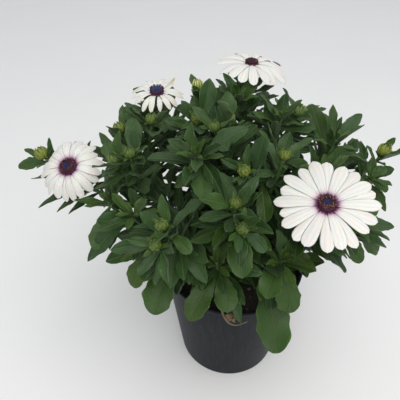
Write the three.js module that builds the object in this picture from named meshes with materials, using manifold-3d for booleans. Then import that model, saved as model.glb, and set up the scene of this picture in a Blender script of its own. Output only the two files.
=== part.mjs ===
// An osteospermum in bloom in its nursery pot: a thin plastic pot, the peat that fills it, the leafy stems
// that stand in the peat, and four daisy blooms, each with a ring of petals round a disc of small florets.
// Millimetres, +Z up. The origin is the middle of the pot's underside.

import * as THREE from "three";
import { mergeGeometries, mergeVertices } from "three/addons/utils/BufferGeometryUtils.js";
import Module from "manifold-3d";

const wasm = await Module();
wasm.setup();

// ---- Driving dimensions ---------------------------------------------------------------------------------

const GAP = 0.3; // kept clear between neighbouring pieces

const POT_RIM_RADIUS = 70;
const POT_BASE_RADIUS = 53;
const POT_HEIGHT = 138;
const POT_WALL = 1.8;
const POT_FLOOR = 2.4;
const POT_LIP = 1; // how far the lip stands out from the wall
const POT_LIP_HEIGHT = 5;
const POT_SEGMENTS = 32;
const DRAIN_HOLES = 6;
const DRAIN_HOLE_RADIUS = 4;
const DRAIN_RING_RADIUS = 42;

const SOIL_TOP = 126;
const SOIL_SEGMENTS = 24;
const SOIL_BUMP = 1.5; // height of the crumbs above and below the peat's level
const HOLE_DEPTH = 24; // how deep each stem stands in the peat
const HOLE_CLEARANCE = 0.6;

const STEM_SIDES = 5; // the leaves leave the middles of these sides, two sides on from one to the next
const STEM_RADIUS = 2.4; // at the peat
const STEM_COLLAR = 3.5; // how high over the peat's level the stems stand straight up
const SHOOT_RADIUS = 1.9; // where a side shoot leaves its stem
const TIP_RADIUS = 1.4;
const STEM_STEP = 32; // mm of stem between two rings of its surface

const LARGE_FROM = 50; // length from which a leaf counts as a large one
const LEAF_SLENDER = 0.42; // width over length of a leaf that grows by rule
const LEAF_TOP = 0.6; // how far the upper face lies over the midrib's line
const LEAF_FOLD = 0.22; // how far the edges rise, over the half width
const LEAF_CLEAR = 0.35; // kept clear round each leaf
const BLADE_FROM = 0.34; // share of a leaf's length where its stalk ends and its blade begins
const LEAF_ROOT = -0.5; // over the stem's radius: a leaf starts beyond its middle, so that its stalk is full

const PETAL_THICK = 0.8;
const PETAL_LAYER = 0.85; // how far a petal's layer lies above or below the middle of the hub
const HUB_RADIUS = 7;
const HUB_HEIGHT = 2;

const CUP_DEPTH = 9; // from a bloom's hub down to the end of its stalk
const DISC_SIDES = 18;

const BUD_LENGTH = 14;
const BUD_RADIUS = 6.6;
const RAYS_LENGTH = 8.4; // of the rolled rays over the cup of an opening bud

const COLOURS = {
  pot: "#2b2e35",
  soil: "#241d18",
  leaf: "#3d5a33",
  petal: "#f4f0f1",
  disc: "#3a2033",
  ray: "#e9e4a8",
};

// Outlines from a leaf's base to its tip: share of the length, share of the full width, depth of the keel.
const LARGE_LEAF = [[0.28, 0.3, 1.3], [0.58, 0.88, 1], [0.84, 0.9, 0.7]];
const LEAF = [[0.38, 0.5, 1.3], [0.76, 1, 0.7]];

// Outline of a petal: share of the length, share of the full width.
const PETAL = [[0.2, 0.36], [0.5, 0.9], [0.86, 0.94]];

// A disc's rings from its foot to its middle: share of the hub's radius, height, relief of the florets.
const DISC = [[1.04, 0, 0], [1.1, 0.9, 0.3], [0.88, 2.2, 0.45], [0.6, 2.9, 0.4], [0.3, 3.1, 0.35]];

// The rings of an opening bud's rolled rays: height, radius, relief.
const RAYS = [[0, 4.8, 0], [4, 5.2, 0.5], [7.4, 3, 0.8]];

// ---- The plant ------------------------------------------------------------------------------------------

// Each bloom: the middle of its hub, the way it faces, its radius, how many petals it has and how wide they
// are, how far they arch over the hub and drop at their tips, and how unevenly they lie.
const BLOOMS = {
  right: {
    centre: [58, -62, 262], face: [-0.12, -0.34, 0.93], radius: 38,
    petals: 20, width: 9.8, arch: 3, drop: 1, ragged: 1,
  },
  left: {
    centre: [-150, 15, 236], face: [-0.2, -0.5, 0.84], radius: 30,
    petals: 20, width: 8, arch: 5, drop: 9, ragged: 1.5,
  },
  back_left: {
    centre: [-74, 75, 278], face: [0, -0.2, 0.98], radius: 25,
    petals: 16, width: 5.6, arch: 3, drop: 5, ragged: 2.5,
  },
  back: {
    centre: [14, 98, 296], face: [0.03, 0.02, 1], radius: 34,
    petals: 18, width: 9.4, arch: 4, drop: 7, ragged: 1,
  },
};

// A large leaf: from axis 0 (the stem) or 1, 2 (its shoots), at a share of that axis, to the leaf's tip.
const leafTo = (axis, at, tip, width) => ({ axis, at, tip, width });

// Each stem: where it stands (distance from the pot's axis, bearing in degrees), where it ends, how many
// leaves grow by rule on it and how long they are, what it ends in, its side shoots (at: share of the stem
// below them) and its large leaves.
const STEMS = [
  {
    name: "stem_left", root: [22, 168], tip: [-180, 42, 226], leaves: 11, long: 34, end: "bud",
    shoots: [{ at: 0.74, bloom: "left", leaves: 0, long: 0, end: "bloom" }],
    large: [
      leafTo(0, 0.95, [-207, 38, 219], 12),
      leafTo(0, 0.92, [-176, 52, 243], 8),
      leafTo(0, 0.84, [-152, 54, 238], 8),
      leafTo(0, 0.76, [-138, 52, 240], 9),
      leafTo(0, 0.74, [-190, 12, 191], 10),
      leafTo(0, 0.7, [-167, 2, 197], 9),
      leafTo(0, 0.66, [-153, -4, 200], 9),
    ],
  },
  {
    name: "stem_left_middle", root: [14, 185], tip: [-104, 2, 250], leaves: 10, long: 38, end: "bud",
    shoots: [{ at: 0.7, tip: [-90, -8, 264], leaves: 5, long: 28, end: "bud" }],
    large: [leafTo(0, 0.9, [-126, 45, 253], 9), leafTo(0, 0.86, [-118, 12, 261], 15)],
  },
  {
    name: "stem_left_low", root: [22, -172], tip: [-112, -18, 225], leaves: 8, long: 40, end: "leaf",
    shoots: [{ at: 0.55, tip: [-88, -38, 228], leaves: 5, long: 38, end: "leaf" }],
    large: [leafTo(0, 0.96, [-122, -45, 194], 18), leafTo(1, 0.92, [-133, -50, 183], 18)],
  },
  {
    name: "stem_low_left", root: [22, -150], tip: [-76, -58, 214], leaves: 7, long: 40, end: "leaf",
    shoots: [],
    large: [
      leafTo(0, 0.94, [-90, -74, 179], 16),
      leafTo(0, 0.88, [-98, -60, 200], 10),
      leafTo(0, 0.82, [-77, -82, 189], 16),
      leafTo(0, 0.62, [-72, -86, 160], 25),
    ],
  },
  {
    name: "stem_front_left", root: [14, -128], tip: [-60, -73, 248], leaves: 9, long: 38, end: "bud",
    shoots: [{ at: 0.8, tip: [-64, -82, 238], leaves: 3, long: 30, end: "bud" }],
    large: [
      leafTo(0, 0.8, [-90, -56, 226], 11),
      leafTo(0, 0.78, [-55, -90, 201], 13),
      leafTo(0, 0.74, [-28, -93, 210], 13),
      leafTo(0, 0.9, [-40, -86, 236], 11),
    ],
  },
  {
    name: "stem_low_front", root: [22, -105], tip: [-20, -72, 208], leaves: 6, long: 40, end: "leaf",
    shoots: [],
    large: [
      leafTo(0, 0.8, [-42, -96, 166], 19),
      leafTo(0, 0.72, [-10, -93, 174], 19),
      leafTo(0, 0.5, [2, -84, 145], 12),
    ],
  },
  {
    name: "stem_front", root: [6, -95], tip: [-8, -66, 264], leaves: 12, long: 40, end: "bud",
    shoots: [{ at: 0.84, tip: [-4, -80, 254], leaves: 4, long: 30, end: "bud" }],
    large: [
      leafTo(0, 0.8, [-3, -101, 226], 18),
      leafTo(0, 0.9, [21, -72, 264], 9),
      leafTo(0, 0.93, [7, -55, 282], 9),
    ],
  },
  {
    name: "stem_low_right", root: [22, -52], tip: [32, -66, 206], leaves: 6, long: 40, end: "leaf",
    shoots: [],
    large: [
      leafTo(0, 0.55, [33, -97, 122], 31),
      leafTo(0, 0.84, [43, -88, 164], 21),
      leafTo(0, 0.88, [17, -97, 197], 18),
      leafTo(0, 0.94, [56, -60, 202], 10),
    ],
  },
  {
    name: "stem_right_front", root: [14, -40], bloom: "right", leaves: 9, long: 42, end: "bloom",
    shoots: [{ at: 0.5, tip: [92, -42, 222], leaves: 7, long: 40, end: "leaf" }],
    large: [
      leafTo(1, 0.9, [121, -46, 193], 16),
      leafTo(1, 0.8, [99, -60, 196], 13),
      leafTo(1, 0.96, [131, -30, 208], 12),
    ],
  },
  {
    name: "stem_right_low", root: [22, 8], tip: [126, 22, 246], leaves: 10, long: 38, end: "bud",
    shoots: [{ at: 0.75, tip: [108, -10, 244], leaves: 6, long: 32, end: "leaf" }],
    large: [
      leafTo(1, 0.9, [125, -2, 252], 9),
      leafTo(1, 0.85, [128, -16, 235], 11),
      leafTo(1, 0.7, [131, -22, 212], 12),
      leafTo(0, 0.85, [104, 25, 266], 8),
    ],
  },
  {
    name: "stem_right", root: [14, 15], tip: [84, 22, 262], leaves: 11, long: 38, end: "leaf",
    shoots: [{ at: 0.62, tip: [66, -12, 252], leaves: 5, long: 34, end: "leaf" }],
    large: [
      leafTo(0, 0.86, [60, 36, 289], 17),
      leafTo(0, 0.9, [110, 46, 276], 14),
      leafTo(0, 0.84, [90, 42, 272], 10),
      leafTo(0, 0.82, [86, -12, 254], 13),
    ],
  },
  {
    name: "stem_right_back", root: [14, 48], tip: [36, 34, 276], leaves: 11, long: 38, end: "leaf",
    shoots: [{ at: 0.74, tip: [50, 40, 274], leaves: 6, long: 30, end: "bud" }],
    large: [
      leafTo(0, 0.86, [39, 46, 293], 12),
      leafTo(1, 0.9, [61, 20, 281], 9),
      leafTo(0, 0.8, [24, 52, 285], 12),
    ],
  },
  {
    name: "stem_centre_right", root: [6, -15], tip: [30, -25, 276], leaves: 13, long: 40, end: "bud",
    shoots: [{ at: 0.78, tip: [0, -42, 274], leaves: 7, long: 30, end: "bud" }],
    large: [],
  },
  {
    name: "stem_centre", root: [6, 165], tip: [-10, 13, 284], leaves: 12, long: 40, end: "bud",
    shoots: [
      { at: 0.8, tip: [-22, 1, 284], leaves: 5, long: 30, end: "bud" },
      { at: 0.6, tip: [-37, -26, 277], leaves: 9, long: 34, end: "leaf" },
    ],
    large: [
      leafTo(2, 0.88, [3, -10, 295], 14),
      leafTo(2, 0.84, [-31, -62, 267], 19),
      leafTo(2, 0.8, [-17, -68, 272], 15),
    ],
  },
  {
    name: "stem_back_middle", root: [6, 85], tip: [-35, 72, 276], leaves: 12, long: 38, end: "opening_bud",
    shoots: [{ at: 0.7, tip: [-36, 20, 280], leaves: 7, long: 32, end: "bud" }],
    large: [leafTo(0, 0.9, [-48, 74, 293], 10)],
  },
  {
    name: "stem_back", root: [14, 82], bloom: "back", leaves: 6, long: 38, end: "bloom",
    shoots: [{ at: 0.6, tip: [0, 62, 276], leaves: 6, long: 32, end: "leaf" }],
    large: [
      leafTo(1, 0.86, [-18, 82, 296], 10),
      leafTo(1, 0.92, [-8, 68, 293], 9),
      leafTo(1, 0.84, [15, 70, 294], 13),
    ],
  },
  {
    name: "stem_back_left_bloom", root: [14, 125], bloom: "back_left", leaves: 6, long: 38, end: "bloom",
    shoots: [{ at: 0.62, tip: [-84, 68, 256], leaves: 6, long: 32, end: "leaf" }],
    large: [leafTo(1, 0.9, [-90, 74, 272], 10)],
  },
  {
    name: "stem_back_left", root: [14, 155], tip: [-106, 46, 252], leaves: 10, long: 38, end: "bud",
    shoots: [{ at: 0.7, tip: [-77, 42, 264], leaves: 6, long: 32, end: "bud" }],
    large: [leafTo(0, 0.86, [-106, 60, 272], 13)],
  },
  {
    name: "stem_rear_left", root: [22, 128], tip: [-72, 108, 236], leaves: 11, long: 42, end: "bud",
    shoots: [{ at: 0.6, tip: [-104, 92, 214], leaves: 7, long: 40, end: "leaf" }],
    large: [],
  },
  {
    name: "stem_rear_left_low", root: [22, 148], tip: [-124, 66, 206], leaves: 11, long: 44, end: "leaf",
    shoots: [],
    large: [],
  },
  {
    name: "stem_rear", root: [22, 95], tip: [-8, 122, 232], leaves: 11, long: 42, end: "bud",
    shoots: [{ at: 0.5, tip: [-34, 112, 196], leaves: 7, long: 42, end: "leaf" }],
    large: [],
  },
  {
    name: "stem_rear_right", root: [22, 52], tip: [66, 92, 244], leaves: 11, long: 42, end: "bud",
    shoots: [{ at: 0.55, tip: [44, 112, 204], leaves: 7, long: 42, end: "leaf" }],
    large: [],
  },
  {
    name: "stem_rear_right_low", root: [22, 30], tip: [112, 58, 216], leaves: 11, long: 42, end: "leaf",
    shoots: [{ at: 0.55, tip: [104, 24, 196], leaves: 6, long: 40, end: "leaf" }],
    large: [],
  },
];

// ---- Tools ----------------------------------------------------------------------------------------------

const UP = new THREE.Vector3(0, 0, 1);
const LIGHT = new THREE.Vector3(-0.1, -0.6, 0.8).normalize(); // where the brightest light comes from
const vector = (values) => new THREE.Vector3(...values);
const unit = (v) => v.clone().normalize();
const cross = (a, b) => new THREE.Vector3().crossVectors(a, b);
const mix = (a, b, share) => new THREE.Vector3().lerpVectors(a, b, share);
const radians = THREE.MathUtils.degToRad;
const between = THREE.MathUtils.lerp;

// a + b * length.
const along = (a, b, length) => a.clone().addScaledVector(b, length);

// The part of v that is square to the unit vector axis, at unit length.
const squareTo = (axis, v) => along(v, axis, -v.dot(axis)).normalize();

// A point with three axes: along a stem or out of a bloom's face, to the right and over it.
function frameAt(point, tangent, reference) {
  const right = squareTo(tangent, reference);
  return { point, tangent, right, over: cross(tangent, right) };
}

// The way out from a frame's axis at a bearing round it.
const outward = ({ right, over }, bearing) =>
  along(right.clone().multiplyScalar(Math.cos(bearing)), over, Math.sin(bearing));

// A ring of points round a frame's axis, moved along it by height, with every second point raised by bump.
function circle(frame, radius, height, sides, bump = 0) {
  return Array.from({ length: sides }, (_, k) => {
    const middle = along(frame.point, frame.tangent, height + (k % 2 ? bump : -bump));
    return along(middle, outward(frame, (2 * Math.PI * k) / sides), radius);
  });
}

// A seeded series of numbers, so that every build grows the same plant.
class Draw {
  constructor(seed) {
    this.state = seed * 7919 + 12345;
  }

  between(low, high) {
    this.state = (this.state * 1664525 + 1013904223) % 4294967296;
    return low + ((high - low) * this.state) / 4294967296;
  }
}

// The body through rings of points, closed on a point after the last ring. Before the first it closes on the
// start point, or lies flat where there is none, or stays open where that is null. Each ring turns
// anticlockwise about the way to the next. Every second side is split the other way, so that both faces of a
// blade have the same triangles.
function loft(rings, end, start) {
  const sides = rings[0].length;
  const corners = [...rings.flat(), end];
  const faces = [];
  if (start) {
    corners.push(start);
    for (let k = 0; k < sides; k += 1) faces.push(corners.length - 1, (k + 1) % sides, k);
  } else if (start !== null) {
    for (let k = 2; k < sides; k += 1) faces.push(0, k, k - 1);
  }
  for (let ring = 1; ring < rings.length; ring += 1) {
    for (let k = 0; k < sides; k += 1) {
      const c = ring * sides + k;
      const d = ring * sides + ((k + 1) % sides);
      const a = c - sides;
      const b = d - sides;
      if (k % 2 === 0) faces.push(a, b, d, a, d, c);
      else faces.push(a, b, c, b, d, c);
    }
  }
  const last = (rings.length - 1) * sides;
  for (let k = 0; k < sides; k += 1) faces.push(last + k, last + ((k + 1) % sides), rings.length * sides);
  const geometry = new THREE.BufferGeometry().setFromPoints(corners);
  geometry.setIndex(faces);
  return geometry;
}

// A geometry as a manifold-3d solid.
function solid(geometry) {
  const bare = geometry.clone();
  bare.deleteAttribute("normal");
  bare.deleteAttribute("uv");
  const merged = mergeVertices(bare, 1e-4);
  return new wasm.Manifold(
    new wasm.Mesh({
      numProp: 3,
      vertProperties: merged.attributes.position.array,
      triVerts: new Uint32Array(merged.index.array),
    }),
  );
}

// A manifold-3d solid as a geometry.
function geometryOf(made) {
  const mesh = made.getMesh();
  const geometry = new THREE.BufferGeometry();
  geometry.setAttribute("position", new THREE.BufferAttribute(mesh.vertProperties, 3));
  geometry.setIndex(new THREE.BufferAttribute(mesh.triVerts, 1));
  return geometry;
}

const joined = (solids) => solids.reduce((sum, one) => sum.add(one));

// ---- Stems ----------------------------------------------------------------------------------------------

// What a stem or shoot ends in, as rings round its last stretch: height past its end, radius.
const ENDS = {
  leaf: { rings: [], length: TIP_RADIUS },
  bud: { rings: [[3.2, 0.92 * BUD_RADIUS], [9.2, 0.86 * BUD_RADIUS]], length: BUD_LENGTH },
  opening_bud: { rings: [[2.4, 5], [8, 5.8]], length: 8 },
  bloom: { rings: [[3, 4.6], [CUP_DEPTH - GAP, 6.6]], length: CUP_DEPTH - GAP },
};

// The line that a stem or a side shoot follows, with a frame at each point of it.
class Axis {
  constructor(start, leave, end, arrive, radius, kind) {
    const length = start.distanceTo(end);
    const from = along(start, leave, 0.38 * length);
    const to = along(end, arrive, -0.3 * length);
    this.curve = new THREE.CubicBezierCurve3(start, from, to, end);
    this.length = length;
    this.radius = radius;
    this.reference = unit(cross(UP, along(end, start, -1)));
    this.kind = kind;
    this.below = []; // rings below the start, for a stem that stands in the peat
  }

  frame(at) {
    return frameAt(this.curve.getPoint(at), this.curve.getTangent(at), this.reference);
  }

  radiusAt(at) {
    return between(this.radius, TIP_RADIUS, at);
  }

  get steps() {
    return Math.max(2, Math.round(this.length / STEM_STEP));
  }

  // The share of the axis nearest to at where a leaf meets no edge of the stem's sides.
  clearOfEdges(at) {
    const step = Math.floor(at * this.steps);
    const rest = at * this.steps - step;
    return (step + (rest < 0.5 ? 0.08 + 0.4 * rest : 0.92 - 0.4 * (1 - rest))) / this.steps;
  }

  // A point at a share of the axis and a bearing round it, depth times the radius out from the body's middle.
  inside(at, bearing, depth) {
    const step = Math.min(Math.floor(at * this.steps), this.steps - 1);
    const [low, high] = [step, step + 1].map((ring) => {
      const share = ring / this.steps;
      const frame = this.frame(share);
      return along(frame.point, outward(frame, bearing), depth * this.radiusAt(share));
    });
    return mix(low, high, at * this.steps - step);
  }

  body() {
    const rooted = this.below.length > 0;
    const rings = [...this.below];
    for (let step = rooted ? 0 : 1; step <= this.steps; step += 1) {
      const at = step / this.steps;
      rings.push(circle(this.frame(at), this.radiusAt(at), 0, STEM_SIDES));
    }
    const end = this.frame(1);
    ENDS[this.kind].rings.forEach(([height, radius]) => rings.push(circle(end, radius, height, STEM_SIDES)));
    const tip = along(end.point, end.tangent, ENDS[this.kind].length);
    return loft(rings, tip, rooted ? undefined : this.curve.v0);
  }
}

// Where a stem or shoot ends, and the way in which it arrives there: a bloom's stalk along the bloom's own
// axis, any other outward and turned up to the light.
function arrival(part, start) {
  if (part.bloom) {
    const arrive = unit(vector(BLOOMS[part.bloom].face));
    return { tip: along(vector(BLOOMS[part.bloom].centre), arrive, -CUP_DEPTH), arrive };
  }
  const tip = vector(part.tip);
  return { tip, arrive: unit(mix(unit(along(tip, start, -1)), UP, 0.5)) };
}

function stemAxes(stem) {
  const [distance, bearing] = stem.root;
  const root = new THREE.Vector3(distance, 0, SOIL_TOP + STEM_COLLAR).applyAxisAngle(UP, radians(bearing));
  const { tip, arrive } = arrival(stem, root);
  const leave = unit(mix(UP, unit(along(tip, root, -1)), 0.3));
  const main = new Axis(root, leave, tip, arrive, STEM_RADIUS, stem.end);
  const upright = frameAt(root, UP, main.reference);
  main.below = [-HOLE_DEPTH - STEM_COLLAR, -1.2].map((z) => circle(upright, STEM_RADIUS, z, STEM_SIDES));
  const shoots = stem.shoots.map((shoot) => {
    const { point, tangent } = main.frame(shoot.at);
    const end = arrival(shoot, point);
    const leave = unit(mix(tangent, unit(along(end.tip, point, -1)), 0.6));
    return new Axis(point, leave, end.tip, end.arrive, SHOOT_RADIUS, shoot.end);
  });
  return [main, ...shoots];
}

// ---- Leaves ---------------------------------------------------------------------------------------------

// A leaf along a curved midrib: two edges, a keel under the midrib, and on a large leaf the crease over it.
// grow makes the body larger all round; from leaves out what lies before that share of its length.
function leafBody(leaf, grow = 0, from = 0) {
  const large = leaf.length > LARGE_FROM;
  const midrib = new THREE.QuadraticBezierCurve3(leaf.base, leaf.middle, leaf.tip);
  const side = unit(cross(leaf.up, along(leaf.tip, leaf.base, -1)));
  const rings = (large ? LARGE_LEAF : LEAF)
    .filter(([at]) => at >= from)
    .map(([at, share, deep], station) => {
      const point = midrib.getPoint(at);
      const normal = unit(cross(midrib.getTangent(at), side));
      const half = (leaf.width / 2) * share + grow;
      const rise = (large ? LEAF_FOLD * half : LEAF_TOP) + grow / 2;
      const wave = leaf.wave * (station % 2 ? 1 : -1);
      const right = along(along(point, side, half), normal, rise + wave);
      const left = along(along(point, side, -half), normal, rise - wave);
      const keel = along(point, normal, -deep - grow);
      return large ? [right, along(point, normal, LEAF_TOP + grow), left, keel] : [right, left, keel];
    });
  return loft(rings, along(leaf.tip, midrib.getTangent(1), grow), from ? undefined : leaf.base);
}

function makeLeaf(base, middle, tip, up, width, wave) {
  return { base, middle, tip, up, width, wave, length: base.distanceTo(tip) };
}

// The bearing of the middle of one side of a stem.
const sideBearing = (side) => (2 * Math.PI * (side + 0.5)) / STEM_SIDES;

// A leaf placed by its tip: it arches over, and its upper face looks to the light.
function placedLeaf(axes, spot, draw) {
  const axis = axes[spot.axis];
  const frame = axis.frame(spot.at);
  const tip = vector(spot.tip);
  const reach = along(tip, frame.point, -1);
  const bearings = Array.from({ length: STEM_SIDES }, (_, side) => sideBearing(side));
  const [bearing] = bearings.sort((a, b) => outward(frame, b).dot(reach) - outward(frame, a).dot(reach));
  const base = axis.inside(spot.at, bearing, LEAF_ROOT);
  const length = base.distanceTo(tip);
  const middle = along(mix(base, tip, 0.45), UP, 0.14 * length);
  return makeLeaf(base, middle, tip, LIGHT, spot.width, draw.between(-0.05, 0.05) * spot.width);
}

// The leaves that grow by rule up an axis: each two sides on from the last, the lower ones longer and more
// spread.
function grownLeaves(axis, count, long, draw) {
  const phase = Math.floor(draw.between(0, STEM_SIDES));
  return Array.from({ length: count }, (_, k) => {
    const share = (k + 0.5) / count;
    const at = axis.clearOfEdges(between(axis.below.length ? 0.2 : 0.3, 0.99, Math.pow(share, 0.65)));
    const frame = axis.frame(at);
    const bearing = sideBearing((phase + 2 * k) % STEM_SIDES);
    const away = outward(frame, bearing);
    const base = axis.inside(at, bearing, LEAF_ROOT);
    const spread = radians(between(74, 36, share) + draw.between(-8, 8));
    const light = new THREE.Vector3(base.x, base.y, 0.35 * base.length()).normalize();
    const straight = frame.tangent.clone().multiplyScalar(Math.cos(spread));
    const start = along(straight, away, Math.sin(spread));
    const length = long * between(1.1, 0.8, share) * draw.between(0.88, 1.12);
    const sag = between(0.75, 0.3, share) * draw.between(0.6, 1.4);
    const droop = unit(along(along(start, light, 0.4), UP, -sag));
    const middle = along(base, start, 0.5 * length);
    const tip = along(middle, droop, 0.52 * length);
    const up = unit(along(along(UP, frame.tangent, 0.6), away, -0.8));
    const width = length * LEAF_SLENDER * draw.between(0.9, 1.12);
    return makeLeaf(base, middle, tip, up, width, draw.between(-0.03, 0.03) * width);
  });
}

// The ways in which a leaf may give way to its neighbours: turned about its base, raised or lowered, shorter.
const WAYS = [];
for (const size of [1, 0.85, 0.7]) {
  for (const turn of [0, 10, -10, 20, -20, 32, -32]) {
    for (const raise of [0, 10, -10, 20]) WAYS.push({ turn, raise, size });
  }
}

function givenWay(leaf, { turn, raise, size }) {
  const side = unit(cross(leaf.up, along(leaf.tip, leaf.base, -1)));
  const moved = (v) => v.clone().applyAxisAngle(side, -radians(raise)).applyAxisAngle(UP, radians(turn));
  const spot = (point) => along(leaf.base, moved(along(point, leaf.base, -1)), size);
  return makeLeaf(leaf.base, spot(leaf.middle), spot(leaf.tip), moved(leaf.up), leaf.width * size, leaf.wave);
}

// ---- Blooms ---------------------------------------------------------------------------------------------

const bloomFrame = (bloom) => frameAt(vector(bloom.centre), unit(vector(bloom.face)), vector([1, 0, 0]));

// One petal, from its side of the hub outward: a strap with square edges that narrows to its tip.
function petalBody(bloom, frame, foot, turn, layer, draw) {
  const way = outward(frame, turn);
  const side = cross(frame.tangent, way);
  const middle = along(frame.point, frame.tangent, HUB_HEIGHT / 2);
  const spot = (radius, height) => along(along(middle, way, radius), frame.tangent, height);
  const reach = bloom.radius * draw.between(0.94, 1.03);
  const level = PETAL_LAYER * layer;
  const tip = spot(reach, level - bloom.drop * draw.between(0.8, 1.2));
  const midrib = new THREE.QuadraticBezierCurve3(
    spot(HUB_RADIUS, 0.8 * level),
    spot(between(HUB_RADIUS, reach, 0.5), level + bloom.arch),
    along(tip, side, bloom.ragged * draw.between(-1, 1)),
  );
  const width = bloom.width * draw.between(0.94, 1.05);
  const rings = PETAL.map(([at, share]) => {
    const point = midrib.getPoint(at);
    const normal = unit(cross(midrib.getTangent(at), side));
    const half = (width / 2) * share;
    const corner = (x, y) => along(along(point, side, x * half), normal, (y * PETAL_THICK) / 2);
    return [corner(1, -1), corner(1, 1), corner(-1, 1), corner(-1, -1)];
  });
  return loft([foot, ...rings], midrib.getPoint(1), null);
}

// The petals, every second one in the upper layer, each grown out of its own side of a low hub.
function petalsBody(bloom, draw) {
  const frame = bloomFrame(bloom);
  const [lower, upper] = [0, HUB_HEIGHT].map((height) => circle(frame, HUB_RADIUS, height, bloom.petals));
  const pieces = [
    loft([lower.toReversed()], frame.point, null),
    loft([upper], along(frame.point, frame.tangent, HUB_HEIGHT), null),
  ];
  for (let k = 0; k < bloom.petals; k += 1) {
    const next = (k + 1) % bloom.petals;
    const foot = [lower[next], upper[next], upper[k], lower[k]];
    const turn = (2 * Math.PI * (k + 0.5 + draw.between(-0.1, 0.1))) / bloom.petals;
    pieces.push(petalBody(bloom, frame, foot, turn, k % 2 ? 1 : -1, draw));
  }
  return mergeVertices(mergeGeometries(pieces), 1e-4);
}

// The disc: a low dome whose florets stand out in relief.
function discBody(bloom) {
  const frame = bloomFrame(bloom);
  const base = HUB_HEIGHT + GAP;
  const rings = DISC.map(([share, height, bump]) =>
    circle(frame, HUB_RADIUS * share, base + height, DISC_SIDES, bump),
  );
  return loft(rings, along(frame.point, frame.tangent, base + 3.2));
}

// The rolled rays that stand in the cup of an opening bud.
function raysBody(axis) {
  const end = axis.frame(1);
  const foot = ENDS.opening_bud.length + GAP;
  const rings = RAYS.map(([height, radius, bump]) => circle(end, radius, foot + height, 8, bump));
  return loft(rings, along(end.point, end.tangent, foot + RAYS_LENGTH));
}

// ---- Pot and peat ---------------------------------------------------------------------------------------

const wallRadius = (z) => between(POT_BASE_RADIUS, POT_RIM_RADIUS - POT_LIP, z / POT_HEIGHT);
const upright = frameAt(new THREE.Vector3(), UP, vector([1, 0, 0]));

const column = (radius, height, sides, x, y, z) =>
  solid(new THREE.CylinderGeometry(radius, radius, height, sides).rotateX(Math.PI / 2).translate(x, y, z));

function turned(profile) {
  const points = profile.map(([radius, height]) => new THREE.Vector2(radius, height));
  return solid(new THREE.LatheGeometry(points, POT_SEGMENTS).rotateX(Math.PI / 2));
}

function potBody() {
  const lipFoot = POT_HEIGHT - POT_LIP_HEIGHT;
  const pot = turned([
    [0, 0],
    [POT_BASE_RADIUS - 2, 0],
    [wallRadius(2), 2],
    [wallRadius(lipFoot), lipFoot],
    [POT_RIM_RADIUS, lipFoot + 1],
    [POT_RIM_RADIUS, POT_HEIGHT],
    [wallRadius(POT_HEIGHT) - POT_WALL, POT_HEIGHT],
    [wallRadius(POT_FLOOR) - POT_WALL, POT_FLOOR],
    [0, POT_FLOOR],
  ]);
  const drains = Array.from({ length: DRAIN_HOLES }, (_, k) => {
    const way = outward(upright, (2 * Math.PI * (k + 0.5)) / DRAIN_HOLES);
    return column(DRAIN_HOLE_RADIUS, 12, 8, DRAIN_RING_RADIUS * way.x, DRAIN_RING_RADIUS * way.y, 0);
  });
  return drains.reduce((rest, drain) => rest.subtract(drain), pot);
}

function soilBody(roots) {
  const inside = (z) => wallRadius(z) - POT_WALL - 0.5;
  const floor = POT_FLOOR + GAP;
  const wall = [floor, SOIL_TOP].map((z) => circle(upright, inside(z), z, SOIL_SEGMENTS));
  const draw = new Draw(3);
  const surface = [0.84, 0.56].map((share) =>
    circle(upright, inside(SOIL_TOP) * share, SOIL_TOP, SOIL_SEGMENTS).map((point) =>
      along(point, UP, 1 - share + draw.between(-SOIL_BUMP, SOIL_BUMP)),
    ),
  );
  const peat = solid(loft([...wall, ...surface], new THREE.Vector3(0, 0, SOIL_TOP + 1)));
  const height = HOLE_DEPTH + 12;
  const middle = SOIL_TOP - HOLE_DEPTH - GAP + height / 2;
  return roots.reduce(
    (rest, { x, y }) => rest.subtract(column(STEM_RADIUS + HOLE_CLEARANCE, height, 6, x, y, middle)),
    peat,
  );
}

// ---- Growing the plant ----------------------------------------------------------------------------------

// Everything that stands in the way of a leaf. Against its own stem's leaves only the blades count.
const placed = [];

function place(stem, body, bladeBody = body) {
  body.computeBoundingBox();
  placed.push({ stem, made: solid(body), bladeMade: solid(bladeBody), box: body.boundingBox.clone() });
  return placed.at(-1).made;
}

function isFree(stem, leaf) {
  const grown = leafBody(leaf, LEAF_CLEAR);
  grown.computeBoundingBox();
  const near = placed.filter(({ box }) => box.intersectsBox(grown.boundingBox));
  const whole = solid(grown);
  const blade = solid(leafBody(leaf, LEAF_CLEAR / 2, BLADE_FROM));
  return near.every((other) =>
    other.stem === stem ? blade.intersect(other.bladeMade).isEmpty() : whole.intersect(other.made).isEmpty(),
  );
}

// Sets a leaf in the first way that is free, or leaves it out where none is.
function placeLeaf(stem, leaf) {
  const free = WAYS.map((way) => givenWay(leaf, way)).find((tried) => isFree(stem, tried));
  return free ? [place(stem, leafBody(free), leafBody(free, 0, BLADE_FROM))] : [];
}

const group = new THREE.Group();

function addNode(name, geometry, colour, roughness) {
  const material = new THREE.MeshStandardMaterial({ color: colour, roughness, metalness: 0 });
  const mesh = new THREE.Mesh(geometry, material);
  mesh.name = name;
  group.add(mesh);
}

const blooms = Object.entries(BLOOMS).map(([name, bloom], k) => {
  const petals = petalsBody(bloom, new Draw(100 + k));
  const disc = discBody(bloom);
  place(`bloom_${name}`, petals);
  place(`bloom_${name}`, disc);
  return { name, petals, disc };
});

const plants = STEMS.map((stem) => {
  const axes = stemAxes(stem);
  return { stem, axes, bodies: axes.map((axis) => place(stem.name, axis.body())) };
});

const outside = [[0, 0], [POT_BASE_RADIUS, 0], [POT_RIM_RADIUS + 1, POT_HEIGHT], [0, SOIL_TOP + SOIL_BUMP]];
place("pot", geometryOf(turned(outside)));

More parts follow.
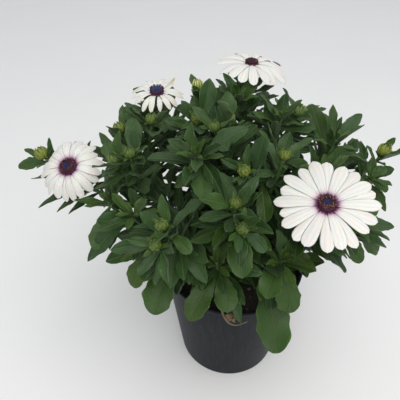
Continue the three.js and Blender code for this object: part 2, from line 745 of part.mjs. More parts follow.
plants.forEach(({ stem, axes, bodies }, k) => {
  const draw = new Draw(200 + k);
  stem.large.forEach((spot) => bodies.push(...placeLeaf(stem.name, placedLeaf(axes, spot, draw))));
});

plants.forEach(({ stem, axes, bodies }, k) => {
  const draw = new Draw(300 + k);
  [stem, ...stem.shoots].forEach((part, n) => {
    const leaves = grownLeaves(axes[n], part.leaves, part.long, draw);
    leaves.reverse().forEach((leaf) => bodies.push(...placeLeaf(stem.name, leaf)));
  });
});

addNode("pot", geometryOf(potBody()), COLOURS.pot, 0.55);
addNode("soil", geometryOf(soilBody(plants.map(({ axes }) => axes[0].curve.v0))), COLOURS.soil, 1);
plants.forEach(({ stem, bodies }) => addNode(stem.name, geometryOf(joined(bodies)), COLOURS.leaf, 0.6));
blooms.forEach(({ name, petals, disc }) => {
  addNode(`petals_${name}`, petals, COLOURS.petal, 0.7);
  addNode(`disc_${name}`, disc, COLOURS.disc, 0.8);
});
const opening = plants.flatMap(({ axes }) => axes).find((axis) => axis.kind === "opening_bud");
addNode("opening_bud_rays", raysBody(opening), COLOURS.ray, 0.7);

export default group;
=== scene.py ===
"""An osteospermum in bloom in its nursery pot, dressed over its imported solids.

The plant is grown here again from the solids' own named values and seeded draws, with fine blades on the
same lines. Sizes are in millimetres until a mesh is made. The origin is the middle of the pot's underside,
+Z is up.
"""

import logging
import math
from dataclasses import dataclass, replace
from enum import Enum
from typing import Any, Iterable, Sequence

import bpy
import numpy as np
from mathutils import Matrix, Vector, noise
from mathutils.kdtree import KDTree


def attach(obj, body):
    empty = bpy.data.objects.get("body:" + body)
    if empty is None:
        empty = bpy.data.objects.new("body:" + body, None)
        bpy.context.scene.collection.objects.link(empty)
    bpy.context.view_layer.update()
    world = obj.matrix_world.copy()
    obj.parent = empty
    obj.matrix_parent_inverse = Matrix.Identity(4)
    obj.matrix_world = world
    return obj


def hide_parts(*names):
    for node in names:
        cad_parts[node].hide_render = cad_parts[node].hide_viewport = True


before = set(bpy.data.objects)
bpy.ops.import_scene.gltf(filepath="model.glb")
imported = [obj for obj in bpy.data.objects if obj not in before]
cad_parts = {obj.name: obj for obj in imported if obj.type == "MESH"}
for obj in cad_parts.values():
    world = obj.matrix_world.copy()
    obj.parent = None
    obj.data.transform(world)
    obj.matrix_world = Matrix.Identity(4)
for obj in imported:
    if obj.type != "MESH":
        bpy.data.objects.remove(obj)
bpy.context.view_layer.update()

log = logging.getLogger("osteospermum")

MM = 0.001
Array = np.ndarray
Row = Array | Sequence[float]

# ---- Sizes shared with the solids --------------------------------------------------------------------

POT_RIM_RADIUS = 70
POT_BASE_RADIUS = 53
POT_HEIGHT = 138
POT_WALL = 1.8
POT_FLOOR = 2.4
POT_LIP = 1
POT_LIP_HEIGHT = 5
DRAIN_HOLES = 6
DRAIN_HOLE_RADIUS = 4
DRAIN_RING_RADIUS = 42

SOIL_TOP = 126
HOLE_DEPTH = 24

STEM_SIDES = 5
STEM_RADIUS = 2.4
STEM_COLLAR = 3.5
SHOOT_RADIUS = 1.9
TIP_RADIUS = 1.4
STEM_STEP = 32

LEAF_SLENDER = 0.42
LEAF_ROOT = -0.5

PETAL_LAYER = 0.85
HUB_RADIUS = 7
HUB_HEIGHT = 2
GAP = 0.3
CUP_DEPTH = 9

OPENING_CUP = 8  # depth of an opening bud's cup
RAYS_LENGTH = 8.4

# ---- Points, curves and draws ------------------------------------------------------------------------


def vector(values: Iterable[float]) -> Array:
    """Returns the values as a vector of floats."""
    return np.array(tuple(values), float)


def unit(v: Array) -> Array:
    """Returns a vector, or rows of vectors, at unit length."""
    return v / np.linalg.norm(v, axis=-1, keepdims=True)


def mix(a: Array, b: Array, share: float) -> Array:
    """Returns the point at a share of the way from a to b."""
    return a + (b - a) * share


def between(low: float, high: float, share: float) -> float:
    """Returns the number at a share of the way from low to high."""
    return (1 - share) * low + share * high


def smooth(low: float, high: float, x: Array | float) -> Array | float:
    """Returns 0 below low, 1 above high and an even S-curve between."""
    share = np.clip((x - low) / (high - low), 0, 1)
    return share * share * (3 - 2 * share)


def turned(v: Array, axis: Array, degrees: float) -> Array:
    """Returns a vector turned anticlockwise about an axis of unit length through the origin."""
    cos, sin = math.cos(math.radians(degrees)), math.sin(math.radians(degrees))
    return v * cos + np.cross(axis, v) * sin + axis * (axis @ v) * (1 - cos)


UP = vector((0, 0, 1))
LIGHT = unit(vector((-0.1, -0.6, 0.8)))


class Draw:
    """A seeded series of numbers, the same as the solids grow from."""

    def __init__(self, seed: int) -> None:
        """Starts the series at a seed."""
        self.state = seed * 7919 + 12345

    def between(self, low: float, high: float) -> float:
        """Returns the next number, evenly spread from low to high."""
        self.state = (self.state * 1664525 + 1013904223) % 4294967296
        return low + ((high - low) * self.state) / 4294967296


class Curve:
    """A Bezier curve through the first and last of its points."""

    DELTA = 0.0001  # share of the curve on each side over which its direction is taken

    def __init__(self, *points: Array) -> None:
        """Keeps the curve's own points."""
        self.points = np.array(points)

    def at(self, share: Array | float) -> Array:
        """Finds points of the curve.

        Args:
            share: One share or an array of them.

        Returns:
            The points, one row for each share.
        """
        along = np.asarray(share, float)[..., None]
        order = len(self.points) - 1
        weights = [math.comb(order, k) * (1 - along) ** (order - k) * along**k for k in range(order + 1)]
        return sum(weight * point for weight, point in zip(weights, self.points))

    def tangent(self, share: Array | float) -> Array:
        """Returns the curve's directions at shares of it, at unit length."""
        along = np.asarray(share, float)
        return unit(self.at(np.minimum(along + self.DELTA, 1)) - self.at(np.maximum(along - self.DELTA, 0)))


@dataclass(frozen=True)
class Spot:
    """A point with three axes: along a stem or out of a bloom's face, to the right and over it."""

    point: Array
    tangent: Array
    right: Array
    over: Array

    @classmethod
    def of(cls, point: Array, tangent: Array, reference: Row = (1, 0, 0)) -> "Spot":
        """Makes the spot at a point, facing along a tangent, whose right lies nearest to a reference."""
        right = unit(reference - tangent * (tangent @ reference))
        return cls(point, tangent, right, np.cross(tangent, right))

    def ahead(self, height: float) -> Array:
        """Returns the point at a height over the spot, the way it faces."""
        return self.point + self.tangent * height

    def raised(self, height: float) -> "Spot":
        """Returns the same spot moved ahead."""
        return replace(self, point=self.ahead(height))

    def outward(self, bearing: Array | float) -> Array:
        """Returns the ways out at bearings in radians round the spot."""
        turn = np.asarray(bearing, float)[..., None]
        return np.cos(turn) * self.right + np.sin(turn) * self.over

    def ring(self, radius: Array | float, height: float, sides: int, ridge: float = 0) -> Array:
        """Returns a ring of points round the spot.

        Args:
            radius: The ring's radius, or one radius for each point.
            height: How far ahead of the spot the ring lies.
            sides: How many points it has.
            ridge: How much further out the points lie on five ridges, over the radius.

        Returns:
            One row for each point, anticlockwise about the way along.
        """
        bearing = np.arange(sides) * (2 * math.pi / sides)
        reach = np.broadcast_to(radius, (sides,)) * (1 + ridge * np.cos(STEM_SIDES * bearing))
        return self.ahead(height) + self.outward(bearing) * reach[:, None]

    def rings(self, profile: Iterable[tuple[Any, float]], sides: int) -> Array:
        """Returns the rings of a turned body from its radii and heights."""
        return np.stack([self.ring(radius, height, sides) for radius, height in profile])


ORIGIN = Spot.of(np.zeros(3), UP)

# ---- Meshes ------------------------------------------------------------------------------------------


class MeshStore:
    """Closed bodies gathered into one mesh, with the values that their finishes read.

    The point attribute blade holds where a point lies on its own leaf, petal or stem: millimetres across it,
    millimetres along it, and the share of the way from its middle to its edge. On a bud's scales the second
    is the share of the way from foot to tip. The point attribute tone holds a shade, about 0 to 1, random but
    on a leaf raised with its height as painted light, youth from 0 to 1, and 1 on an underside.
    """

    def __init__(self, name: str, finishes: Sequence[bpy.types.Material] = (), seed: int = 0) -> None:
        """Starts an empty mesh.

        Args:
            name: The name of the piece.
            finishes: The materials that its bodies choose from, by their place in this list.
            seed: What seeds the draws that its fine form varies by.
        """
        self.name = name
        self.finishes = finishes
        self.draw = Draw(seed)
        self.points: list[Array] = []
        self.faces: list[Sequence[int]] = []
        self.face_finish: list[int] = []
        self.values: dict[str, list[Array]] = {"blade": [], "tone": []}
        self.count = 0

    def loft(
        self, rings: Array, start: Array, end: Array, finish: int = 0,
        blade: Row = (0, 0, 0), tone: Row = (0, 0, 0),
    ) -> None:
        """Adds the closed body through rings of points.

        Args:
            rings: Points of the shape (rings, sides, 3), each ring anticlockwise about the way to the next.
            start: The point that closes it before the first ring.
            end: The point that closes it after the last ring.
            finish: Which of the finishes it has.
            blade: The attribute blade for each point of the rings, or one row.
            tone: The attribute tone, likewise.
        """
        count, sides = rings.shape[:2]
        index = self.count + np.arange(count * sides).reshape(count, sides)
        after = np.roll(index, -1, axis=1)
        first = self.count + count * sides
        walls = np.stack([index[:-1], after[:-1], after[1:], index[1:]], -1).reshape(-1, 4)
        foot = [(first, b, a) for a, b in zip(index[0].tolist(), after[0].tolist())]
        head = [(first + 1, a, b) for a, b in zip(index[-1].tolist(), after[-1].tolist())]
        faces = [*walls.tolist(), *foot, *head]
        self.faces.extend(faces)
        self.face_finish.extend([finish] * len(faces))
        self.points.append(np.vstack([rings.reshape(-1, 3), start, end]))
        self.count += count * sides + 2
        for name, value in (("blade", blade), ("tone", tone)):
            whole = np.broadcast_to(value, rings.shape)
            self.values[name].append(np.vstack([whole.reshape(-1, 3), whole[0].mean(0), whole[-1].mean(0)]))

    def thread(
        self, points: Array, ways: Array, references: Iterable[Row],
        thick: float, sides: int, finish: int, shade: float,
    ) -> None:
        """Adds a round fibre.

        Args:
            points: The points that it follows.
            ways: The way along it at each.
            references: The way from which each ring starts.
            thick: Its radius.
            sides: How many points a ring has.
            finish: Which of the finishes it has.
            shade: Its shade.
        """
        spots = [Spot.of(*place) for place in zip(points, ways, references)]
        rings = np.stack([spot.ring(thick, 0, sides) for spot in spots])
        self.loft(rings, spots[0].ahead(-0.2), spots[-1].ahead(0.2), finish, tone=(shade, 0, 0))

    def piece(self, smooth_faces: bool = True) -> bpy.types.Object:
        """Makes the object and links it to the scene.

        Args:
            smooth_faces: Whether it is shaded as one smooth surface.

        Returns:
            The object.
        """
        mesh = bpy.data.meshes.new(self.name)
        mesh.from_pydata((np.vstack(self.points) * MM).tolist(), [], self.faces)
        for name, rows in self.values.items():
            attribute = mesh.attributes.new(name, "FLOAT_VECTOR", "POINT")
            attribute.data.foreach_set("vector", np.vstack(rows).astype(np.float32).ravel())
        for material in self.finishes:
            mesh.materials.append(material)
        mesh.polygons.foreach_set("material_index", self.face_finish)
        mesh.polygons.foreach_set("use_smooth", [smooth_faces] * len(mesh.polygons))
        mesh.update()
        made = bpy.data.objects.new(self.name, mesh)
        bpy.context.scene.collection.objects.link(made)
        return made


def dress(piece: bpy.types.Object, slot: str, *nodes: str) -> None:
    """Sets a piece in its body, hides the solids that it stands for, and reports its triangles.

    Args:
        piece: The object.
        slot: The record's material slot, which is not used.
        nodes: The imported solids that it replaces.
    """
    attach(piece, "root")
    if nodes:
        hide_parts(*nodes)
    triangles = sum(len(face.vertices) - 2 for face in piece.data.polygons)
    log.info("%s: %d triangles", piece.name, triangles)


# ---- Finishes ----------------------------------------------------------------------------------------

MATH = "ShaderNodeMath"
EASED = {"kind": "ShaderNodeMapRange", "interpolation_type": "SMOOTHSTEP"}


def linear(colour: str) -> tuple[float, float, float, float]:
    """Turns an sRGB hex colour, such as "#2c4a2a", to red, green, blue and alpha in linear light."""
    parts = [int(colour[k : k + 2], 16) / 255 for k in (1, 3, 5)]
    return (*(c / 12.92 if c <= 0.04045 else ((c + 0.055) / 1.055) ** 2.4 for c in parts), 1.0)


def add_node(tree: bpy.types.NodeTree, kind: str, inputs: dict[Any, Any], **settings: Any) -> Any:
    """Adds a node to a tree with its settings and links.

    Args:
        tree: The node tree.
        kind: The node's type.
        inputs: What its inputs get, by name or by place: a number, a hex colour or another node's output.
        **settings: The node's own settings.

    Returns:
        The node's first output in use.
    """
    node = tree.nodes.new(kind)
    for name, value in settings.items():
        setattr(node, name, value)
    for name, value in inputs.items():
        if isinstance(value, bpy.types.NodeSocket):
            tree.links.new(value, node.inputs[name])
        else:
            node.inputs[name].default_value = linear(value) if isinstance(value, str) else value
    return next(output for output in node.outputs if output.enabled)


class Finish:
    """The base of every finish: it makes the material and lays its colours over one another."""

    name = "finish"
    roughness = 0.5
    ior = 1.45
    relief_mm = 0.1
    through = 0.0  # how much of the light has passed below the surface
    through_mm = 1.0  # how far such light travels
    gloss: dict[str, Any] = {}  # what the shader's other sockets get

    def material(self) -> bpy.types.Material:
        """Makes the material.

        Returns:
            The material.
        """
        made = bpy.data.materials.new(self.name)
        made.use_nodes = True
        self.tree = made.node_tree
        self.surface = self.tree.nodes["Principled BSDF"]
        self.build()
        return made

    def build(self) -> None:
        """Adds this finish's own nodes."""
        raise NotImplementedError

    def add(self, kind: str, inputs: dict[Any, Any], **settings: Any) -> Any:
        """Adds a node to this finish and returns its output."""
        return add_node(self.tree, kind, inputs, **settings)

    def attribute(self, name: str) -> Sequence[Any]:
        """Returns the three parts of one of the mesh's attributes."""
        found = self.add("ShaderNodeAttribute", {}, attribute_name=name).node
        return self.add("ShaderNodeSeparateXYZ", {0: found.outputs["Vector"]}).node.outputs

    def mottle(self, size_mm: float, detail: float = 3, upright: float = 1) -> Any:
        """Makes a cloudy pattern from 0 to 1 whose patches have a real size.

        Args:
            size_mm: How wide a patch is.
            detail: How many finer layers it has.
            upright: How many times taller than wide a patch is.

        Returns:
            The pattern's value.
        """
        place = self.add("ShaderNodeTexCoord", {}).node.outputs["Object"]
        shaped = self.add("ShaderNodeMapping", {"Vector": place, "Scale": (1, 1, 1 / upright)})
        values = {"Vector": shaped, "Scale": 1 / (size_mm * MM), "Detail": detail, "Roughness": 0.55}
        return self.add("ShaderNodeTexNoise", values)

    def layer(self, below: Any, above: Any, by: Any, low: float = 0, high: float = 1, most: float = 1) -> Any:
        """Lays one colour over another by a value.

        Args:
            below: The colour so far, a hex colour or an output.
            above: The colour laid over it.
            by: The value that it goes by.
            low: The value at which none of it shows.
            high: The value from which the most of it shows.
            most: How much shows there.

        Returns:
            The mixed colour.
        """
        share = self.add(inputs={0: by, 1: low, 2: high, 3: 0, 4: most}, **EASED)
        return self.add("ShaderNodeMix", {0: share, 6: below, 7: above}, data_type="RGBA")

    def finish(self, colour: Any, height: Any) -> None:
        """Gives the surface its colour, its relief and the finish's own gloss.

        Args:
            colour: The colour.
            height: The height of the relief, from 0 to 1.
        """
        raised = self.add("ShaderNodeBump", {"Height": height, "Distance": self.relief_mm * MM})
        self.tree.links.new(raised, self.surface.inputs["Normal"])
        self.tree.links.new(colour, self.surface.inputs["Base Color"])
        light = {"Subsurface Weight": self.through, "Subsurface Scale": self.through_mm * MM}
        for name, value in {"Roughness": self.roughness, "IOR": self.ior, **light, **self.gloss}.items():
            self.surface.inputs[name].default_value = value


class LeafFinish(Finish):
    """A fresh leaf: soft tissue under a thin waxy skin, dull and a little grey, with sunken veins.

    It gives the eye a satin dark green with a paler midrib, a thin pale edge and a much paler underside. Grey
    patches are partly its own grey and partly painted sheen, and high leaves are painted lighter and greyer.
    """

    name = "leaf_waxy_skin"
    dark = "#192e14"
    middle = "#2a461d"
    # grey is laid in patches: partly the skin's own grey, partly painted sheen.
    grey = "#384e32"
    warm = "#3a5018"
    young = "#435d1d"
    rib = "#465f30"
    edge = "#4e6838"
    under = "#4b5e3e"
    vein_spacing_mm = 4.6
    vein_slant = -1.15  # how much further from the foot a side vein lies for each mm beside the midrib
    waver_mm = 4
    rib_half_mm = 0.55
    patch_mm = 12
    grey_and_sheen_mm = 5
    pucker_mm = 2.2
    relief_mm = 0.3
    roughness = 0.48
    ior = 1.42
    through = 0.2
    gloss = {
        "Specular IOR Level": 0.34,
        "Subsurface Radius": (0.6, 1, 0.4),
        "Sheen Weight": 0.04,
        "Sheen Roughness": 0.4,
    }

    def build(self) -> None:
        """Adds the veins, the edge, the underside and the shades from leaf to leaf."""
        across, along, share = self.attribute("blade")
        shade, youth, below = self.attribute("tone")
        beside = self.add(MATH, {0: across}, operation="ABSOLUTE")
        # The side veins leave the midrib at a slant and waver a little.
        slant = self.add(MATH, {0: beside, 1: self.vein_slant, 2: along}, operation="MULTIPLY_ADD")
        slant = self.add(MATH, {0: self.mottle(self.waver_mm), 1: 1.2, 2: slant}, operation="MULTIPLY_ADD")
        turns = self.add(MATH, {0: slant, 1: self.vein_spacing_mm}, operation="DIVIDE")
        place = self.add(MATH, {0: turns, 1: 0.5}, operation="PINGPONG")
        veins = self.add(inputs={0: place, 1: 0, 2: 0.11, 3: 1, 4: 0}, **EASED)
        inner = self.add(inputs={0: share, 1: 0.95, 2: 0.4}, **EASED)
        veins = self.add(MATH, {0: veins, 1: inner}, operation="MULTIPLY")
        half = self.rib_half_mm
        midrib = self.add(inputs={0: beside, 1: 0.4 * half, 2: 1.2 * half, 3: 1, 4: 0}, **EASED)

        # Shade is random, but raised on high leaves: painted light that makes them lighter and greyer.
        depth = self.add(MATH, {0: self.mottle(self.patch_mm), 1: shade}, operation="ADD")
        green = self.layer(self.dark, self.middle, depth, 0.45, 1.5)
        green = self.layer(green, self.warm, shade, 0.4, 0.1, 0.55)
        # Grey patches: partly the skin's own grey, partly painted sheen.
        grey_and_sheen = self.add(MATH, {0: self.mottle(self.grey_and_sheen_mm, upright=0.5), 1: shade}, operation="ADD")
        green = self.layer(green, self.grey, grey_and_sheen, 0.95, 1.6, 0.55)
        green = self.layer(green, self.young, youth, most=0.8)
        green = self.layer(green, self.rib, veins, most=0.15)
        green = self.layer(green, self.rib, midrib, most=0.6)
        green = self.layer(green, self.edge, share, 0.93, 0.99, 0.45)
        pale = self.layer(self.under, self.rib, veins, most=0.35)
        colour = self.layer(green, pale, below, most=0.85)

        faint = self.add(MATH, {0: veins, 1: 0.3}, operation="MULTIPLY")
        sunken = self.add(MATH, {0: faint, 1: midrib}, operation="MAXIMUM")
        pucker = self.mottle(self.pucker_mm)
        self.finish(colour, self.add(MATH, {0: sunken, 1: -1.2, 2: pucker}, operation="MULTIPLY_ADD"))


class StemFinish(Finish):
    """A soft green stem: smooth, slightly ribbed skin that turns woody and brown towards the peat."""

    name = "stem_green_skin"
    green = "#4b6830"
    dull = "#35502a"
    woody = "#4a3d2c"
    streak_mm = 1.2
    relief_mm = 0.25
    roughness = 0.55

    def build(self) -> None:
        """Adds the streaks and the brown foot."""
        youth = self.attribute("tone")[1]
        streaks = self.mottle(self.streak_mm, upright=8)
        skin = self.layer(self.dull, self.green, streaks, 0.3, 0.7)
        self.finish(self.layer(skin, self.woody, youth, 0.35, 0, 0.75), streaks)


class BudFinish(Finish):
    """A closed bud's bracts: firm waxy green scales, each with a dark middle and yellow-green edges."""

    name = "bud_waxy_bracts"
    stripe = "#3c5423"
    flesh = "#50672c"
    ripe = "#80872e"
    dull = "#3e5729"
    grain_mm = 1.5
    relief_mm = 0.3

    def build(self) -> None:
        """Adds the stripe, the yellow of a ripe bud and the paler tips."""
        _, along, share = self.attribute("blade")
        shade, youth, _ = self.attribute("tone")
        flesh = self.layer(self.flesh, self.ripe, youth, 0.2, 1)
        flesh = self.layer(flesh, self.ripe, along, 0.5, 1, 0.45)
        flesh = self.layer(flesh, self.dull, shade, 0.4, 1, 0.5)
        grain = self.mottle(self.grain_mm)
        place = self.add(MATH, {0: grain, 1: 1.6, 2: share}, operation="MULTIPLY_ADD")
        place = self.add(MATH, {0: along, 1: 0.35, 2: place}, operation="MULTIPLY_ADD")
        self.finish(self.layer(self.stripe, flesh, place, 0.5, 1.5), grain)


class PetalFinish(Finish):
    """A ray petal: thin white tissue with a silky face that lets some light through.

    It gives the eye a clean white with two or three faint grooves lined with painted grey shade, purple
    where it leaves the disc, and a greyish purple underside.
    """

    name = "petal_silky_tissue"
    white = "#dad7d1"
    warm = "#c9c4bf"
    # groove: the grey painted along the grooves, painted shade in the creases.
    groove = "#b3acae"
    cream = "#c6bf9f"
    blush = "#a863a0"
    purple = "#4d1b3a"
    under = "#a394a8"
    streak_mm = 0.6
    drawn_out = 0.07  # width of a streak over its length
    uneven_mm = 9  # how far the streaks move the purple's edge
    blush_from_mm = 7.6  # from the bloom's middle
    blush_to_mm = 13.6
    purple_from_mm = 7.2
    purple_to_mm = 10.4
    relief_mm = 0.15
    through = 0.25
    through_mm = 1.5

    def build(self) -> None:
        """Adds the grooves, the purple foot and the underside."""
        across, along, share = self.attribute("blade")
        shade, creamy, below = self.attribute("tone")
        slow = self.add(MATH, {0: along, 1: self.drawn_out}, operation="MULTIPLY")
        place = self.add("ShaderNodeCombineXYZ", {0: across, 1: slow})
        scale = 1 / self.streak_mm
        streaks = self.add("ShaderNodeTexNoise", {"Vector": place, "Scale": scale, "Detail": 2.0})
        # A mask of the two grooves, where grey is painted: painted shade in the creases.
        groove = self.add(MATH, {0: share, 1: 0.38, 2: 0.1}, operation="COMPARE")

        warmth = self.add(MATH, {0: shade, 1: streaks}, operation="MULTIPLY")
        face = self.layer(self.white, self.warm, warmth)
        face = self.layer(face, self.groove, groove, most=0.2)
        face = self.layer(face, self.cream, creamy)
        foot = self.add(MATH, {0: streaks, 1: -self.uneven_mm, 2: along}, operation="MULTIPLY_ADD")
        foot = self.add(MATH, {0: foot, 1: self.uneven_mm / 2}, operation="ADD")
        face = self.layer(face, self.blush, foot, self.blush_to_mm, self.blush_from_mm, 0.6)
        face = self.layer(face, self.purple, foot, self.purple_to_mm, self.purple_from_mm)
        back = self.layer(self.under, self.warm, streaks)
        self.finish(self.layer(face, back, below, most=0.8), streaks)


class FloretFinish(Finish):
    """The small tube florets of the disc: fleshy, slightly shiny, nearly black purple, redder at the rim."""

    name = "floret_fleshy"
    deep = "#150b14"
    maroon = "#4e1f33"
    grain_mm = 0.6
    roughness = 0.42

    def build(self) -> None:
        """Adds the shades from floret to floret."""
        shade, youth, _ = self.attribute("tone")
        grain = self.mottle(self.grain_mm)
        redness = self.add(MATH, {0: shade, 1: youth}, operation="ADD")
        self.finish(self.layer(self.deep, self.maroon, redness, 0.3, 1.7), grain)


class FloretBudFinish(Finish):
    """Unopened florets in the middle of the disc: tight, waxy and blue-violet."""

    name = "floret_bud_waxy"
    blue = "#2f466c"
    violet = "#35254a"
    grain_mm = 0.5
    relief_mm = 0.08
    roughness = 0.38

    def build(self) -> None:
        """Adds the blue of the middle."""
        shade = self.attribute("tone")[0]
        self.finish(self.layer(self.violet, self.blue, shade), self.mottle(self.grain_mm))


class PollenFinish(Finish):
    """Pollen on the anthers: a dry powder of dull ochre."""

    name = "pollen_powder"
    ochre = "#a06a34"
    pale = "#c9a465"
    grain_mm = 0.3
    roughness = 0.9

    def build(self) -> None:
        """Adds the grain of the powder."""
        grain = self.mottle(self.grain_mm)
        self.finish(self.layer(self.ochre, self.pale, grain, 0.3, 0.7), grain)


class RayTipFinish(Finish):
    """The rolled rays of an opening bud: silky tissue, cream with yellow-green at the foot."""

    name = "ray_tip_silky_tissue"
    cream = "#cfcf8e"
    green = "#7d8c34"
    cream_from_mm = 1
    cream_to_mm = 7
    grain_mm = 0.8
    relief_mm = 0.12
    through = 0.15

    def build(self) -> None:
        """Adds the change from foot to tip and from the middle of a ray to its edge."""
        _, along, share = self.attribute("blade")
        face = self.layer(self.green, self.cream, along, self.cream_from_mm, self.cream_to_mm)
        self.finish(self.layer(face, self.green, share, 0.5, 1, 0.5), self.mottle(self.grain_mm))


class PotFinish(Finish):
    """Recycled polypropylene, moulded thin: charcoal, matt, with faint upright flow streaks.

    It gives the eye a bluish dark grey with a broad dull sheen, a little dust and a few pale scuffs.
    """

    name = "polypropylene_matt_charcoal"
    charcoal = "#14171b"
    streak = "#1f2428"
    dust = "#35332f"
    streak_mm = 2.6
    grain_mm = 0.7
    dust_mm = 22
    relief_mm = 0.2
    roughness = 0.42
    ior = 1.49
    gloss = {"Specular IOR Level": 0.08, "Specular Tint": linear("#e4f2ff")}

    def build(self) -> None:
        """Adds the streaks, the grain and the dust."""
        streaks = self.mottle(self.streak_mm, detail=4, upright=60)
        grain = self.mottle(self.grain_mm, detail=2)
        body = self.layer(self.charcoal, self.streak, streaks, 0.42, 0.72)
        colour = self.layer(body, self.dust, self.mottle(self.dust_mm, detail=5), 0.6, 0.85, 0.22)
        self.finish(colour, self.add(MATH, {0: grain, 1: 0.3, 2: streaks}, operation="MULTIPLY_ADD"))


class PeatFinish(Finish):
    """Moist peat: crumbs and short fibres, nearly black where wet and brown where dry."""

    name = "peat_moist_crumbs"
    wet = "#171410"
    damp = "#30281f"
    dry = "#6f5b49"
    grain_mm = 1.8
    relief_mm = 1
    roughness = 0.85

    def build(self) -> None:
        """Adds the damp and dry crumbs."""
        shade = self.attribute("tone")[0]
        grain = self.mottle(self.grain_mm, detail=5)
        body = self.layer(self.wet, self.damp, grain, 0.4, 0.7)
        self.finish(self.layer(body, self.dry, shade, 0.82, 1, 0.85), grain)


class DriedFinish(Finish):
    """A dead, dried leaf and root fibres: thin, brittle and olive-brown."""

    name = "dried_leaf_brittle"
    tan = "#6e5634"
    brown = "#40301f"
    pale = "#948769"
    blotch_mm = 2.2
    relief_mm = 0.3
    roughness = 0.7

    def build(self) -> None:
        """Adds the blotches and pale fibres."""
        shade = self.attribute("tone")[0]
        blotches = self.mottle(self.blotch_mm, detail=4)
        body = self.layer(self.brown, self.tan, blotches, 0.35, 0.65)
        self.finish(self.layer(body, self.pale, shade, 0.4, 0.9), blotches)


class FloorFinish(Finish):
    """A plain painted board: even, pale and matt, with the faint cloudiness of a rolled coat."""

    name = "painted_board_matt"
    pale = "#e3e3e2"
    cloud = "#e0e0df"
    cloud_mm = 160
    relief_mm = 0.02
    roughness = 0.6

    def build(self) -> None:
        """Adds the cloudiness."""
        clouds = self.mottle(self.cloud_mm, detail=2)
        self.finish(self.layer(self.pale, self.cloud, clouds), clouds)


# ---- The plan of the plant ---------------------------------------------------------------------------


class End(Enum):
    """What a stem or a shoot ends in."""

    LEAF = "a tuft of young leaves"
    BUD = "a closed bud"
    OPENING_BUD = "an opening bud"
    BLOOM = "a bloom"


@dataclass(frozen=True)
class Bloom:
    """Where a bloom is and how its petals lie."""

    centre: tuple[float, float, float]
    face: tuple[float, float, float]
    radius: float
    petals: int
    width: float
    arch: float  # how far the petals rise over the hub
    drop: float  # and how far their tips lie below it
    ragged: float  # how far their tips stray sideways
    slim: float = 1  # width of the fine petals over the solid ones
    long: float = 1  # and their length
    widest: float = 0.74  # where a petal is widest, as a share of its length
    cream: float = 0  # how cream the petals' tips are
    paler: float = 0  # mm by which the purple at the petals' feet is shorter
    disc: float = 1  # width of its disc over a common one
    dome: float = 1  # and its height
    tilted: tuple[float, float] = (0, 0)  # mm by which the tips on its right and its far side lie lower
    standing: int = -1  # which petal stands up over the disc
    opened: float = 0.6  # share of the disc's radius where the florets have opened
    pollen: float = 0.3  # share of the open florets that show pollen

    def spot(self) -> Spot:
        """Returns the middle of its hub, with the way it faces."""
        return Spot.of(vector(self.centre), unit(vector(self.face)))


@dataclass(frozen=True)
class Shoot:
    """A stem, or a side shoot of one, with the leaves that grow by rule on it."""

    at: float  # share of the stem below a side shoot
    target: tuple[float, float, float] | str  # its tip, or the name of its bloom
    leaves: int
    long: float
    end: End
    size: float = 1  # of its bud or its tuft, over a full-grown one


@dataclass(frozen=True)
class Large:
    """A large leaf: from the stem (axis 0) or a side shoot, at a share of that, to the leaf's tip."""

    axis: int
    at: float
    tip: tuple[float, float, float]
    width: float
    folded: float = 0  # from -1, its edges rolled down, to 1, shut like a book


@dataclass(frozen=True)
class Stem:
    """A stem with its side shoots and large leaves, at a distance from the pot's middle and a bearing."""

    name: str
    root: tuple[float, float]
    shoots: tuple[Shoot, ...]  # the stem itself first
    large: tuple[Large, ...] = ()
    dense: bool = True  # whether smaller leaves fill the gaps along it
    slim: float = 1  # width of its fine leaves over the solid ones
    short: float = 1  # and their length


BLOOMS = {
    "right": Bloom(
        (58, -62, 262), (-0.12, -0.34, 0.93), 38, 20, 9.8, arch=3, drop=1, ragged=1, slim=1.12, disc=0.93,
        opened=0.47, pollen=0.4,
    ),
    "left": Bloom(
        (-150, 15, 236), (-0.2, -0.5, 0.84), 30, 20, 8, arch=5, drop=9, ragged=1.5, slim=1.04, paler=-0.2,
        disc=1.06, opened=0.44, pollen=0.22,
    ),
    "back_left": Bloom(
        (-74, 75, 278), (0, -0.2, 0.98), 25, 16, 5.6, arch=3, drop=5, ragged=2.5, slim=0.98, widest=0.58,
        cream=0.3, paler=6, disc=1.04, dome=0.85, standing=1, opened=0.1, pollen=0,
    ),
    "back": Bloom(
        (14, 98, 296), (0.03, 0.02, 1), 34, 18, 9.4, arch=4, drop=7, ragged=1, slim=1.06, long=1.06,
        paler=5.4, disc=0.98, dome=0.6, tilted=(5, 1.5), opened=0.8, pollen=0.08,
    ),
}


